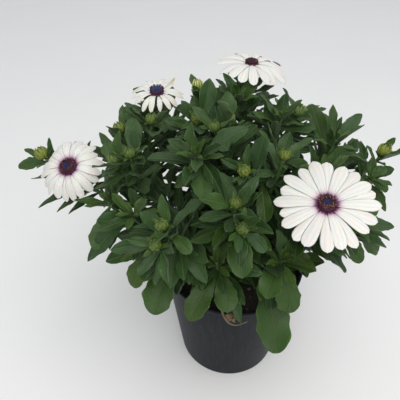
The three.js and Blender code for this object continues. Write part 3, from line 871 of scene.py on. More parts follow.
STEMS = (
    Stem(
        "stem_left", (22, 168),
        (Shoot(0, (-180, 42, 226), 11, 34, End.BUD), Shoot(0.74, "left", 0, 0, End.BLOOM)),
        (
            Large(0, 0.95, (-207, 38, 219), 12), Large(0, 0.92, (-176, 52, 243), 8, 0.5),
            Large(0, 0.84, (-152, 54, 238), 8, 0.5), Large(0, 0.76, (-138, 52, 240), 9, 0.5),
            Large(0, 0.74, (-190, 12, 191), 10, -0.6), Large(0, 0.7, (-167, 2, 197), 9, -0.6),
            Large(0, 0.66, (-153, -4, 200), 9, -0.6),
        ),
        dense=False,
    ),
    Stem(
        "stem_left_middle", (14, 185),
        (
            Shoot(0, (-104, 2, 250), 10, 38, End.BUD, 0.85),
            Shoot(0.7, (-90, -8, 264), 5, 28, End.BUD, 0.75),
        ),
        (Large(0, 0.9, (-126, 45, 253), 9), Large(0, 0.86, (-118, 12, 261), 15)),
    ),
    Stem(
        "stem_left_low", (22, -172),
        (Shoot(0, (-112, -18, 225), 8, 40, End.LEAF), Shoot(0.55, (-88, -38, 228), 5, 38, End.LEAF)),
        (Large(0, 0.96, (-122, -45, 194), 18), Large(1, 0.92, (-133, -50, 183), 18)),
        dense=False, slim=0.85,
    ),
    Stem(
        "stem_low_left", (22, -150),
        (Shoot(0, (-76, -58, 214), 7, 40, End.LEAF),),
        (
            Large(0, 0.94, (-90, -74, 179), 16), Large(0, 0.88, (-98, -60, 200), 10),
            Large(0, 0.82, (-77, -82, 189), 16), Large(0, 0.62, (-72, -86, 160), 25),
        ),
    ),
    Stem(
        "stem_front_left", (14, -128),
        (
            Shoot(0, (-60, -73, 248), 9, 38, End.BUD, 0.74),
            Shoot(0.8, (-64, -82, 238), 3, 30, End.BUD, 0.7),
        ),
        (
            Large(0, 0.8, (-90, -56, 226), 11), Large(0, 0.78, (-55, -90, 201), 13),
            Large(0, 0.74, (-28, -93, 210), 13), Large(0, 0.9, (-40, -86, 236), 11),
        ),
    ),
    Stem(
        "stem_low_front", (22, -105),
        (Shoot(0, (-20, -72, 208), 6, 40, End.LEAF),),
        (
            Large(0, 0.8, (-42, -96, 166), 19), Large(0, 0.72, (-10, -93, 174), 19),
            Large(0, 0.5, (2, -84, 145), 12),
        ),
    ),
    Stem(
        "stem_front", (6, -95),
        (
            Shoot(0, (-8, -66, 264), 12, 40, End.BUD, 0.68),
            Shoot(0.84, (-4, -80, 254), 4, 30, End.BUD, 0.72),
        ),
        (
            Large(0, 0.8, (-3, -101, 226), 18), Large(0, 0.9, (21, -72, 264), 9),
            Large(0, 0.93, (7, -55, 282), 9),
        ),
    ),
    Stem(
        "stem_low_right", (22, -52),
        (Shoot(0, (32, -66, 206), 6, 40, End.LEAF),),
        (
            Large(0, 0.55, (33, -97, 122), 29), Large(0, 0.84, (43, -88, 164), 21),
            Large(0, 0.88, (17, -97, 197), 18), Large(0, 0.94, (56, -60, 202), 10),
        ),
    ),
    Stem(
        "stem_right_front", (14, -40),
        (Shoot(0, "right", 9, 42, End.BLOOM), Shoot(0.5, (92, -42, 222), 7, 40, End.LEAF)),
        (
            Large(1, 0.9, (121, -46, 193), 16), Large(1, 0.8, (99, -60, 196), 13),
            Large(1, 0.96, (131, -30, 208), 12),
        ),
    ),
    Stem(
        "stem_right_low", (22, 8),
        (
            Shoot(0, (126, 22, 246), 10, 38, End.BUD, 0.95),
            Shoot(0.75, (108, -10, 244), 6, 32, End.LEAF, 0.7),
        ),
        (
            Large(1, 0.9, (125, -2, 252), 9), Large(1, 0.85, (128, -16, 235), 11),
            Large(1, 0.7, (131, -22, 212), 12), Large(0, 0.85, (104, 25, 266), 8),
        ),
        dense=False, slim=0.8, short=0.84,
    ),
    Stem(
        "stem_right", (14, 15),
        (Shoot(0, (84, 22, 262), 11, 38, End.LEAF), Shoot(0.62, (66, -12, 252), 5, 34, End.LEAF)),
        (
            Large(0, 0.86, (60, 36, 289), 17), Large(0, 0.9, (110, 46, 276), 14),
            Large(0, 0.84, (90, 42, 272), 10), Large(0, 0.82, (86, -12, 254), 13),
        ),
        slim=0.85,
    ),
    Stem(
        "stem_right_back", (14, 48),
        (Shoot(0, (36, 34, 276), 11, 38, End.LEAF), Shoot(0.74, (50, 40, 274), 6, 30, End.BUD, 0.85)),
        (
            Large(0, 0.86, (39, 46, 293), 12), Large(1, 0.9, (61, 20, 281), 9),
            Large(0, 0.8, (24, 52, 285), 12),
        ),
    ),
    Stem(
        "stem_centre_right", (6, -15),
        (
            Shoot(0, (30, -25, 276), 13, 40, End.BUD, 0.7),
            Shoot(0.78, (0, -42, 274), 7, 30, End.BUD, 0.72),
        ),
    ),
    Stem(
        "stem_centre", (6, 165),
        (
            Shoot(0, (-10, 13, 284), 12, 40, End.BUD, 0.68),
            Shoot(0.8, (-22, 1, 284), 5, 30, End.BUD, 0.72), Shoot(0.6, (-37, -26, 277), 9, 34, End.LEAF),
        ),
        (
            Large(2, 0.88, (3, -10, 295), 14), Large(2, 0.84, (-31, -62, 267), 17, 0.1),
            Large(2, 0.8, (-17, -68, 272), 13, 0.45),
        ),
    ),
    Stem(
        "stem_back_middle", (6, 85),
        (
            Shoot(0, (-35, 72, 276), 12, 38, End.OPENING_BUD),
            Shoot(0.7, (-36, 20, 280), 7, 32, End.BUD, 0.75),
        ),
        (Large(0, 0.9, (-48, 74, 293), 10),),
    ),
    Stem(
        "stem_back", (14, 82),
        (Shoot(0, "back", 6, 38, End.BLOOM), Shoot(0.6, (0, 62, 276), 6, 32, End.LEAF)),
        (
            Large(1, 0.86, (-18, 82, 296), 10), Large(1, 0.92, (-8, 68, 293), 9),
            Large(1, 0.84, (15, 70, 294), 13),
        ),
    ),
    Stem(
        "stem_back_left_bloom", (14, 125),
        (Shoot(0, "back_left", 6, 38, End.BLOOM), Shoot(0.62, (-84, 68, 256), 6, 32, End.LEAF)),
        (Large(1, 0.9, (-90, 74, 272), 10),),
    ),
    Stem(
        "stem_back_left", (14, 155),
        (
            Shoot(0, (-106, 46, 252), 10, 38, End.BUD, 0.85),
            Shoot(0.7, (-77, 42, 264), 6, 32, End.BUD, 0.85),
        ),
        (Large(0, 0.86, (-106, 60, 272), 13),),
    ),
    Stem(
        "stem_rear_left", (22, 128),
        (Shoot(0, (-72, 108, 236), 11, 42, End.BUD, 0.9), Shoot(0.6, (-104, 92, 214), 7, 40, End.LEAF)),
    ),
    Stem("stem_rear_left_low", (22, 148), (Shoot(0, (-124, 66, 206), 11, 44, End.LEAF),)),
    Stem(
        "stem_rear", (22, 95),
        (Shoot(0, (-8, 122, 232), 11, 42, End.BUD, 0.85), Shoot(0.5, (-34, 112, 196), 7, 42, End.LEAF)),
    ),
    Stem(
        "stem_rear_right", (22, 52),
        (Shoot(0, (66, 92, 244), 11, 42, End.BUD, 0.9), Shoot(0.55, (44, 112, 204), 7, 42, End.LEAF)),
    ),
    Stem(
        "stem_rear_right_low", (22, 30),
        (Shoot(0, (112, 58, 216), 11, 42, End.LEAF), Shoot(0.55, (104, 24, 196), 6, 40, End.LEAF)),
    ),
)


# Balls in the crown that stay open between the leaves: their middles and radii.
OPEN_PLACES = (
    (-104, -52, 190, 15), (-114, -52, 212, 12), (-93, -70, 180, 9), (43, 69, 294, 9),
    (102, -78, 214, 14), (77, -40, 172, 14), (53, -76, 180, 10), (65, -78, 196, 11),
)

# ---- Stems and leaves on the lines of the solids -----------------------------------------------------


class Axis:
    """The line that a stem or a side shoot follows."""

    def __init__(
        self, start: Array, leave: Array, end: Array, arrive: Array, part: Shoot, rooted: bool = False
    ) -> None:
        """Bends a line between its two ends.

        Args:
            start: Where it starts.
            leave: The way it leaves there.
            end: Where it ends.
            arrive: The way it arrives there.
            part: The stem or shoot that it is.
            rooted: Whether it stands in the peat.
        """
        length = float(np.linalg.norm(end - start))
        self.curve = Curve(start, start + leave * 0.38 * length, end - arrive * 0.3 * length, end)
        self.length = length
        self.radius = STEM_RADIUS if rooted else SHOOT_RADIUS
        self.reference = unit(np.cross(UP, end - start))
        self.part = part
        self.rooted = rooted
        self.steps = max(2, math.floor(length / STEM_STEP + 0.5))

    def spot(self, at: float) -> Spot:
        """Returns the spot at a share of the line."""
        return Spot.of(self.curve.at(at), self.curve.tangent(at), self.reference)

    def radius_at(self, at: float) -> float:
        """Returns the radius at a share of the line."""
        return between(self.radius, TIP_RADIUS, at)

    def clear_of_edges(self, at: float) -> float:
        """Returns the share nearest to at where a leaf meets no edge of the solid's sides."""
        step, rest = divmod(at * self.steps, 1)
        return (step + (0.08 + 0.4 * rest if rest < 0.5 else 0.92 - 0.4 * (1 - rest))) / self.steps

    def foot(self, at: float, bearing: float) -> Array:
        """Returns the point inside the solid's side where a leaf starts.

        Args:
            at: The share of the line.
            bearing: The bearing round it, in radians.

        Returns:
            The point.
        """
        step = min(math.floor(at * self.steps), self.steps - 1)
        ends = []
        for share in (step / self.steps, (step + 1) / self.steps):
            spot = self.spot(share)
            ends.append(spot.point + spot.outward(bearing) * LEAF_ROOT * self.radius_at(share))
        return mix(ends[0], ends[1], at * self.steps - step)


def arrival(part: Shoot, start: Array) -> tuple[Array, Array]:
    """Finds where a stem or shoot ends.

    Args:
        part: The stem or shoot.
        start: Where it starts.

    Returns:
        Its end and the way it arrives there.
    """
    if isinstance(part.target, str):
        spot = BLOOMS[part.target].spot()
        return spot.ahead(-CUP_DEPTH), spot.tangent
    tip = vector(part.target)
    return tip, unit(mix(unit(tip - start), UP, 0.5))


def stem_axes(stem: Stem) -> list[Axis]:
    """Draws the lines of a stem and its shoots.

    Args:
        stem: The stem.

    Returns:
        The lines, the stem's own first.
    """
    distance, bearing = stem.root
    root = turned(vector((distance, 0, SOIL_TOP + STEM_COLLAR)), UP, bearing)
    tip, arrive = arrival(stem.shoots[0], root)
    axes = [Axis(root, unit(mix(UP, unit(tip - root), 0.3)), tip, arrive, stem.shoots[0], rooted=True)]
    for shoot in stem.shoots[1:]:
        spot = axes[0].spot(shoot.at)
        tip, arrive = arrival(shoot, spot.point)
        leave = unit(mix(spot.tangent, unit(tip - spot.point), 0.6))
        axes.append(Axis(spot.point, leave, tip, arrive, shoot))
    return axes


@dataclass(frozen=True)
class Leaf:
    """A leaf: its curved midrib, the way its upper face looks, its width and its wave."""

    base: Array
    middle: Array
    tip: Array
    up: Array
    width: float
    wave: float = 0
    youth: float = 0
    pointed: float = 0.7
    folded: float = 0

    # The ways in which a leaf may give way to its neighbours: size, turn about its base and raise.
    WAYS = tuple(
        (size, turn, raised)
        for size in (1, 0.85, 0.7)
        for turn in (0, 10, -10, 20, -20, 32, -32)
        for raised in (0, 10, -10, 20)
    )

    @classmethod
    def sprung(
        cls, spot: Spot, base: Array, away: Array, lean: float, length: float, bend: Array, width: float,
        level: Row = (0, 0, 0), **values: float,
    ) -> "Leaf":
        """Makes a leaf that springs from a stem and bends over.

        Args:
            spot: The place on the stem.
            base: Where the leaf starts.
            away: The way out from the stem.
            lean: How far it leans from the stem, in degrees.
            length: Its length.
            bend: What draws its outer half aside.
            width: Its width over its length.
            level: What rolls its upper face aside.
            **values: Its youth, and how pointed it is.

        Returns:
            The leaf.
        """
        angle = math.radians(lean)
        start = spot.tangent * math.cos(angle) + away * math.sin(angle)
        middle = base + start * 0.5 * length
        tip = middle + unit(start + bend) * 0.52 * length
        up = unit(UP + spot.tangent * 0.6 - away * 0.8 + level)
        return cls(base, middle, tip, up, length * width, **values)

    @property
    def length(self) -> float:
        """The straight way from base to tip."""
        return float(np.linalg.norm(self.tip - self.base))

    def side(self) -> Array:
        """Returns the way to its right edge."""
        return unit(np.cross(self.up, self.tip - self.base))

    def given_way(self, size: float, turn: float, raised: float) -> "Leaf":
        """Makes this leaf smaller, turned and raised.

        Args:
            size: Its size over what it was.
            turn: How far it is turned about its base, in degrees.
            raised: How far its tip is raised, in degrees.

        Returns:
            The changed leaf.
        """
        side = self.side()

        def moved(v: Array) -> Array:
            """Returns a way turned and raised with the leaf."""
            return turned(turned(v, side, -raised), UP, turn)

        middle = self.base + moved(self.middle - self.base) * size
        tip = self.base + moved(self.tip - self.base) * size
        return replace(self, middle=middle, tip=tip, up=moved(self.up), width=self.width * size)


def side_bearing(side: int) -> float:
    """Returns the bearing of the middle of one side of a solid stem."""
    return 2 * math.pi * (side + 0.5) / STEM_SIDES


def placed_leaf(axes: Sequence[Axis], large: Large, draw: Draw) -> Leaf:
    """Makes a large leaf that arches over to its tip and looks to the light.

    Args:
        axes: The stem's lines.
        large: The leaf's place and size.
        draw: The series of numbers that it varies by.

    Returns:
        The leaf.
    """
    axis = axes[large.axis]
    spot = axis.spot(large.at)
    tip = vector(large.tip)
    reach = tip - spot.point
    bearing = max((side_bearing(side) for side in range(STEM_SIDES)), key=lambda b: spot.outward(b) @ reach)
    base = axis.foot(large.at, bearing)
    length = float(np.linalg.norm(tip - base))
    middle = mix(base, tip, 0.45) + UP * 0.14 * length
    wave = draw.between(-0.05, 0.05) * large.width
    broad = smooth(0.25, 0.42, large.width / length)
    return Leaf(base, middle, tip, LIGHT, large.width, wave, 0.46 * broad, 1 - broad, large.folded)


def grown_leaves(axis: Axis, draw: Draw) -> list[Leaf]:
    """Grows leaves by rule up an axis.

    Args:
        axis: The stem or shoot.
        draw: The series of numbers they vary by.

    Returns:
        The leaves, each two sides on from the last, the lower ones longer and more spread.
    """
    phase = math.floor(draw.between(0, STEM_SIDES))
    count = axis.part.leaves
    leaves = []
    for k in range(count):
        share = (k + 0.5) / count
        at = axis.clear_of_edges(between(0.2 if axis.rooted else 0.3, 0.99, share**0.65))
        spot = axis.spot(at)
        bearing = side_bearing((phase + 2 * k) % STEM_SIDES)
        base = axis.foot(at, bearing)
        lean = between(74, 36, share) + draw.between(-8, 8)
        light = unit(vector((base[0], base[1], 0.35 * float(np.linalg.norm(base)))))
        length = axis.part.long * between(1.1, 0.8, share) * draw.between(0.88, 1.12)
        bend = light * 0.4 - UP * between(0.75, 0.3, share) * draw.between(0.6, 1.4)
        width = LEAF_SLENDER * draw.between(0.9, 1.12)
        leaf = Leaf.sprung(
            spot, base, spot.outward(bearing), lean, length, bend, width,
            youth=0.5 * share**3, pointed=between(0.15, 0.75, share),
        )
        leaves.append(replace(leaf, wave=draw.between(-0.03, 0.03) * leaf.width))
    return leaves


class Solid:
    """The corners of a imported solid, in millimetres, to find which way a leaf took there."""

    NEAR = 0.03  # mm within which two points count as one

    def __init__(self, node: str) -> None:
        """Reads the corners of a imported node.

        Args:
            node: The node's name.
        """
        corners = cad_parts[node].data.vertices
        self.tree = KDTree(len(corners))
        for k, corner in enumerate(corners):
            self.tree.insert(corner.co / MM, k)
        self.tree.balance()

    def taken(self, leaf: Leaf) -> list[Leaf]:
        """Finds the way that a leaf took.

        Args:
            leaf: The leaf as it is drawn first.

        Returns:
            The leaf as the solid holds it, or nothing where it was left out.
        """
        tried = (leaf.given_way(*way) for way in Leaf.WAYS)
        near = (other for other in tried if self.tree.find(Vector(other.tip))[2] < self.NEAR)
        found = next(near, None)
        return [] if found is None else [found]


# ---- Fine leaves, stems and buds ---------------------------------------------------------------------


def section(above: Sequence[float], below: Sequence[float]) -> tuple[Array, Array]:
    """Lays out the points of a blade's rings.

    Args:
        above: The places of those on the right half of its upper face, from its edge at 1 inwards.
        below: The places of those on the right half of its underside, likewise.

    Returns:
        The place across the blade of each point of a ring, and 1 for those on the underside.
    """
    upper = (*above, 0, *(-x for x in reversed(above)))
    lower = (*(-x for x in below), 0, *reversed(below))
    return vector((*upper, *lower))[None, :], np.repeat((0.0, 1.0), (len(upper), len(lower)))[None, :]


def point_values(first: Row | float, second: Row | float, third: Row | float) -> Array:
    """Returns the rows of an attribute from its three values, each a number or one for each point."""
    return np.stack(np.broadcast_arrays(first, second, third), -1)


def blade_rings(middle: Array, side: Array, normal: Array, across: Array, height: Array) -> Array:
    """Returns the rings of a blade, from its midrib and how far across it and over it their points lie."""
    return middle[:, None] + across[..., None] * side + height[..., None] * normal[:, None]


def standing_rings(
    spot: Spot, bearing: float, levels: Array, radii: Array, halves: Array, x: Array, relief: Array
) -> Array:
    """Bends the rings of a narrow strap to stand round a bud.

    Args:
        spot: The foot of the bud, with the way it points.
        bearing: Where the strap stands, in radians.
        levels: The heights of its rings.
        radii: How far out they lie.
        halves: Half its width there.
        x: The places of a ring's points across it.
        relief: How much further out each of them lies.

    Returns:
        The rings, each anticlockwise about the way up.
    """
    reach = radii[:, None] + relief
    way = spot.outward(bearing + x * (halves / radii)[:, None])
    rings = spot.point + levels[:, None, None] * spot.tangent + way * reach[..., None]
    return rings[:, ::-1]


@dataclass(frozen=True)
class LeafBlade:
    """The fine form of a leaf: a thin blade on a stalk, folded along its midrib, with a few shallow teeth."""

    above: tuple[float, ...] = (1, 0.92, 0.66, 0.36, 0.1)  # places of the points over its right half
    below: tuple[float, ...] = (0.92, 0.66, 0.36, 0.1)
    stations: int = 16
    large_stations: int = 30
    stalk: float = 0.15  # half width of the stalk, over the blade's
    widest: float = 0.74  # share of the length, on a blunt leaf
    pointed_widest: float = 0.56  # and on a pointed one
    thick: float = 0.5
    rib: float = 0.9  # how far the midrib stands out below
    rib_half: float = 0.8
    groove: float = 0.22  # how deep it lies above
    groove_half: float = 0.5
    fold: float = 0.26
    large_fold: float = 0.25
    large_from: float = 50
    ripple: float = 0.25  # over the half width
    ripples: float = 2  # along a whole leaf
    curl: tuple[float, float] = (-0.12, 0.06)  # how far the tip bends up, over the length
    tooth: float = 0.06  # over the half width
    teeth: float = 5.5  # along a whole leaf
    toothed_from: float = 26
    lift: float = 0.45  # how far the upper face lies over the midrib's line
    # Painted light on the top of the crown: a high leaf is painted lighter and greyer, a low one darker and
    # warmer.
    painted_height_light: tuple[float, float] = (-0.1, 0.26)  # shade added to a low leaf and a high one
    painted_height_light_heights: tuple[float, float] = (180, 275)  # mm over the floor

    def add(self, store: MeshStore, leaf: Leaf, stations: int = 0) -> None:
        """Adds a leaf to a mesh.

        Args:
            store: The mesh.
            leaf: The leaf.
            stations: How many rings it has, or 0 to go by its length.
        """
        draw, length = store.draw, leaf.length
        large = length > self.large_from
        count = stations or (self.large_stations if large else self.stations)
        at = 1 - (1 - np.linspace(0.015, 0.97, count)) ** 1.3
        curve = Curve(leaf.base, leaf.middle, leaf.tip)
        middle, side = curve.at(at), leaf.side()
        normal = unit(np.cross(curve.tangent(at), side))
        x, under = section(self.above, self.below)
        s = at[:, None]

        # The outline widens from the stalk and closes round the tip. A large leaf's edge has teeth.
        widest = between(self.widest, self.pointed_widest, leaf.pointed)
        tip_share = np.clip((s - widest) / (1 - widest), 0, 1)
        narrowing = (1 - tip_share ** between(2.3, 1.9, leaf.pointed)) ** between(0.6, 0.85, leaf.pointed)
        outline = (self.stalk + (1 - self.stalk) * smooth(0.04, widest, s)) * narrowing
        if length > self.toothed_from:
            toothed = smooth(0.3, 0.5, s) * smooth(1, 0.85, s)
            wave = np.sin(math.pi * (self.teeth * s + draw.between(0, 1) + 0.25 * np.sign(x))) ** 2
            outline = outline * (1 + self.tooth * toothed * (1 - 2 * wave) * np.abs(x) ** 4)
        half = 0.5 * leaf.width * outline

        # The halves fold up from a sunken midrib, twist, ripple and end in a bent tip.
        first, second = (0.28, 0.58) if large else (0.38, 0.76)
        twist = -np.cos(math.pi * (s - first) / (second - first)) * leaf.wave
        swell = np.sin(2 * math.pi * (self.ripples * s + draw.between(0, 1) + 0.17 * np.sign(x)))
        fold = self.large_fold if large else self.fold
        across = x * half * (1 - 0.45 * abs(leaf.folded) * smooth(0.1, 0.4, s))
        height = self.lift + (fold + leaf.folded) * half * np.abs(x) ** 1.4 + twist * x
        height = height + self.ripple * swell * half * x**2
        height = height - self.groove * np.exp(-((across / self.groove_half) ** 2)) * smooth(1, 0.8, s)
        rib = between(self.rib, 0.2, s) * np.exp(-((across / self.rib_half) ** 2))
        height = height - under * (self.thick * (1 - 0.5 * np.abs(x)) + rib)

        curl = (draw.between(*self.curl) + 0.5 * min(leaf.folded + 0.3, 0)) * length * at**3
        rings = blade_rings(middle + curl[:, None] * normal, side, normal, across, height)
        # The shade rises with the leaf's height: painted light that lightens and greys the top of the crown.
        shade = draw.between(0, 1) + between(*self.painted_height_light, smooth(*self.painted_height_light_heights, float(leaf.tip[2])))
        blade, tone = point_values(across, length * s, np.abs(x)), point_values(shade, leaf.youth, under)
        store.loft(rings, leaf.base, leaf.tip + curl[-1] * normal[-1], Part.LEAF.value, blade, tone)


@dataclass(frozen=True)
class Bracts:
    """Narrow green scales that stand round a bud or the cup under a bloom, close to its skin."""

    heights: tuple[float, ...]  # the skin's profile: heights
    radii: tuple[float, ...]  # and radii there
    low: float  # where the scales start
    high: float  # where they end
    count: int  # in each of two whorls
    width: float
    flare: float = 0.3  # how far their tips stand off
    filled: float = 1  # share of the height up to which the inside is filled

    stations = 8
    thick = 0.35
    keel = 0.3  # how far a scale's middle stands out

    def sized(self, size: float) -> "Bracts":
        """Makes the same bud or cup at another size.

        Args:
            size: The size over this one's.

        Returns:
            The bud or cup.
        """
        heights, radii = (tuple(size * value for value in row) for row in (self.heights, self.radii))
        low, high, width = size * self.low, size * self.high, size * self.width
        return replace(self, heights=heights, radii=radii, low=low, high=high, width=width)

    def reach(self, height: Array) -> Array:
        """Returns the skin's radius at heights."""
        return np.interp(height, self.heights, self.radii)

    def add(self, store: MeshStore, spot: Spot, youth: float) -> None:
        """Adds the skin and both whorls.

        Args:
            store: The mesh.
            spot: The foot of the bud or cup, with the way it points.
            youth: How yellow they are.
        """
        tone = (store.draw.between(0, 1), youth, 0)
        top = self.filled * self.heights[-1]
        levels = np.linspace(self.heights[0], top, 10)
        rings = spot.rings(zip(self.reach(levels), levels), 20)
        store.loft(rings, spot.point, spot.ahead(top - 0.6), Part.BUD.value, tone=tone)
        for whorl in (0, 1):
            for k in range(self.count):
                bearing = 2 * math.pi * (k + 0.5 * whorl + store.draw.between(-0.08, 0.08)) / self.count
                self.add_scale(store, spot, bearing, whorl, tone)

    def add_scale(self, store: MeshStore, spot: Spot, bearing: float, whorl: int, tone: Row) -> None:
        """Adds one scale.

        Args:
            store: The mesh.
            spot: The foot of the bud or cup.
            bearing: Where it stands, in radians.
            whorl: 0 for the inner whorl, 1 for the outer.
            tone: Its shade and youth.
        """
        share = np.linspace(0.02, 0.97, self.stations)
        high = self.high * (1 - 0.26 * whorl) * store.draw.between(0.88, 1.03)
        levels = between(self.low, high, share)
        radii = self.reach(levels) + 0.1 + 0.3 * whorl + self.flare * share**3
        halves = 0.5 * self.width * (0.75 + 0.25 * np.sin(math.pi * share)) * (1 - share**2.6) ** 0.6
        x, under = section((1, 0.55), (0.55,))
        keel = self.keel * (1 - np.abs(x))
        relief = keel - under * (self.thick + keel) - 0.15 * np.abs(x)
        rings = standing_rings(spot, bearing, levels, radii, halves, x, relief)
        blade = point_values(0, share[:, None], np.abs(x)[:, ::-1])
        way = rings[-1].mean(0) - rings[-2].mean(0)
        store.loft(rings, rings[0].mean(0), rings[-1].mean(0) + way * 0.4, Part.BUD.value, blade, tone)


# ---- The leafy stems ---------------------------------------------------------------------------------


class Part(Enum):
    """The finishes of a leafy stem, by their place on its mesh."""

    LEAF = 0
    STEM = 1
    BUD = 2


class Crowd:
    """The space that leaves, buds and blooms already take, in small cubes."""

    CELL = 3.4  # mm
    STEP = 2.5  # mm between the points that a space is filled with
    SHARED = 0.06  # share of its cubes that a new leaf may share with the others
    FLARE = 0.4  # how much wider a bloom's free space gets for each mm above it
    ABOVE = 30  # mm over a bloom that stay free

    def __init__(self, kept_open: Iterable[tuple[float, float, float, float]]) -> None:
        """Starts with the space that the blooms take.

        Args:
            kept_open: Balls that stay open too, each as its middle and its radius.
        """
        self.taken: set[tuple[int, ...]] = set()
        for x, y, z, radius in kept_open:
            line = np.arange(-radius, radius + 1, self.STEP)
            cube = np.stack(np.meshgrid(line, line, line), -1).reshape(-1, 3)
            self.take(self.cells(cube[np.linalg.norm(cube, axis=1) <= radius] + (x, y, z)))
        for bloom in BLOOMS.values():
            spot = bloom.spot()
            for height in np.arange(-bloom.drop - 4, self.ABOVE, self.STEP):
                for radius in np.arange(0, bloom.radius + 3 + self.FLARE * max(height, 0), self.STEP):
                    self.take(self.cells(spot.ring(radius, height, max(1, round(2.4 * radius)))))

    def cells(self, points: Array) -> set[tuple[int, ...]]:
        """Returns the cubes that hold the points."""
        return {tuple(cell) for cell in np.floor(points / self.CELL).astype(int).tolist()}

    def blade(self, leaf: Leaf) -> set[tuple[int, ...]]:
        """Finds the cubes that a leaf's blade passes through.

        Args:
            leaf: The leaf.

        Returns:
            The cubes.
        """
        middle = Curve(leaf.base, leaf.middle, leaf.tip).at(np.linspace(0.3, 1, 10))
        edge = leaf.side() * 0.42 * leaf.width
        return self.cells(np.vstack([middle + edge * x for x in (-1, -0.5, 0, 0.5, 1)]))

    def end(self, axis: Axis) -> set[tuple[int, ...]]:
        """Returns the cubes round the end of an axis."""
        return self.cells(axis.spot(1).rings(((4, height) for height in (0, 3, 6, 9, 12)), 8).reshape(-1, 3))

    def take(self, cells: set[tuple[int, ...]]) -> None:
        """Takes cubes."""
        self.taken |= cells

    def is_free(self, cells: set[tuple[int, ...]]) -> bool:
        """Returns whether nearly all of the cubes are free."""
        return len(cells & self.taken) <= self.SHARED * len(cells)


@dataclass
class LeafyStems:
    """The stems that stand in the peat, each with its shoots, leaves, young tufts, buds and cups."""

    leaf: LeafBlade = LeafBlade()
    bud: Bracts = Bracts(
        (0, 1, 3, 5, 7, 9, 11, 12.6, 13.8), (1.5, 3.4, 5.5, 6.1, 6, 5.4, 4.2, 2.8, 1.6), 0.2, 13.6, 7, 5.2,
        0.25, 0.78,
    )
    cup: Bracts = Bracts((0, 1.2, 3, 6, 8.7), (1.5, 2.9, 4.6, 5.9, 6.6), 0.8, 8.3, 8, 3.2, 0.9)
    opening_cup: Bracts = Bracts((0, 1, 2.4, 5, 8), (1.5, 3.2, 5, 5.6, 5.6), 0.4, 10.5, 7, 3.6, 0.4)
    sides: int = 12
    ridge: float = 0.06  # height of a stem's five ridges, over its radius
    ring_step: float = 5  # mm of stem between two rings
    knot_step: float = 17  # mm of stem between two swellings
    knot: float = 0.07  # how much thicker the stem is there
    golden: float = 2.4  # radians from one young leaf to the next
    small_stations: int = 9  # rings of a small leaf
    fill_step: float = 4.375  # mm of stem for each leaf that may fill a gap
    fill_long: tuple[float, float] = (26, 42)
    fill_wide: tuple[float, float] = (0.38, 0.46)  # over its length
    fill_ways: int = 56  # how many ways such a leaf tries
    young_wide: tuple[float, float] = (0.26, 0.36)
    rolled: float = 32  # degrees, at most
    narrowed: tuple[float, float] = (0.66, 0.98)
    folded: tuple[float, float] = (-0.3, 0.42)

    # The young leaves round an end: their number, then the length and the lean of the lowest and the highest.
    YOUNG = {
        End.BUD: (5, (15, 9), (66, 44)),
        End.OPENING_BUD: (4, (15, 10), (70, 55)),
        End.LEAF: (9, (25, 8), (64, 10)),
    }

    def build(self) -> None:
        """Builds one piece for each stem."""
        finishes = [finish().material() for finish in (LeafFinish, StemFinish, BudFinish)]
        crowd, blooms = Crowd(OPEN_PLACES), Crowd(())
        plants = [(stem, stem_axes(stem)) for stem in STEMS]
        grown = [self.leaves(stem, number, axes, blooms) for number, (stem, axes) in enumerate(plants)]
        for leaf in (leaf for leaves in grown for leaf in leaves):
            crowd.take(crowd.blade(leaf))
        for axis in (axis for _, axes in plants for axis in axes):
            crowd.take(crowd.end(axis))
        for number, (stem, axes) in enumerate(plants):
            store = MeshStore(f"fine_{stem.name}", finishes, 400 + number)
            for leaf in grown[number]:
                self.leaf.add(store, leaf)
            for axis in axes:
                self.add_axis(store, axis)
                self.add_end(store, axis)
                if stem.dense:
                    self.fill(store, axis, crowd)
            dress(store.piece(), "foliage", stem.name)

    def fill(self, store: MeshStore, axis: Axis, crowd: Crowd) -> None:
        """Adds the smaller leaves between the solid's own, wherever there is room for one.

        Args:
            store: The mesh.
            axis: The line that they stand on.
            crowd: The space that is taken.
        """
        draw = store.draw
        count = round(axis.length / self.fill_step)
        for k in range(count):
            spot = axis.spot(between(0.12, 0.92, (k + draw.between(0, 1)) / count))
            away = spot.outward(k * self.golden + draw.between(-0.4, 0.4))
            lean, length = draw.between(48, 82), draw.between(*self.fill_long)
            light = unit(vector((spot.point[0], spot.point[1], 60)))
            bend = light * 0.4 - UP * draw.between(0.1, 0.8)
            level = np.cross(spot.tangent, away) * draw.between(-0.5, 0.5)
            width, youth = draw.between(*self.fill_wide), draw.between(0, 0.3)
            leaf = Leaf.sprung(
                spot, spot.point, away, lean, length, bend, width, level, youth=youth, pointed=0.5
            )
            leaf = self.loosened(leaf, draw)
            for way in Leaf.WAYS[: self.fill_ways]:
                tried = leaf.given_way(*way)
                cells = crowd.blade(tried)
                if crowd.is_free(cells):
                    crowd.take(cells)
                    self.leaf.add(store, tried, self.small_stations)
                    break

    def leaves(self, stem: Stem, number: int, axes: Sequence[Axis], blooms: Crowd) -> list[Leaf]:
        """Finds the leaves that the stem's solid holds.

        Args:
            stem: The stem.
            number: Its place among the stems, which seeds its draws.
            axes: Its lines.
            blooms: The space of the blooms, out of which its leaves are bent.

        Returns:
            The leaves.
        """
        solid, draw = Solid(stem.name), Draw(200 + number)
        found = [leaf for large in stem.large for leaf in solid.taken(placed_leaf(axes, large, draw))]
        draw, fine = Draw(300 + number), Draw(1000 + number)
        for leaf in (leaf for axis in axes for leaf in grown_leaves(axis, draw)):
            found.extend(self.loosened(taken, fine) for taken in solid.taken(leaf))
        found = [replace(leaf.given_way(stem.short, 0, 0), width=stem.slim * leaf.width) for leaf in found]
        return [self.bent_aside(leaf, blooms) for leaf in found]

    def bent_aside(self, leaf: Leaf, blooms: Crowd) -> Leaf:
        """Returns a leaf in the first way in which it leaves the blooms free, or as it is."""
        tried = (leaf.given_way(*way) for way in Leaf.WAYS)
        return next((other for other in tried if blooms.is_free(blooms.blade(other))), leaf)

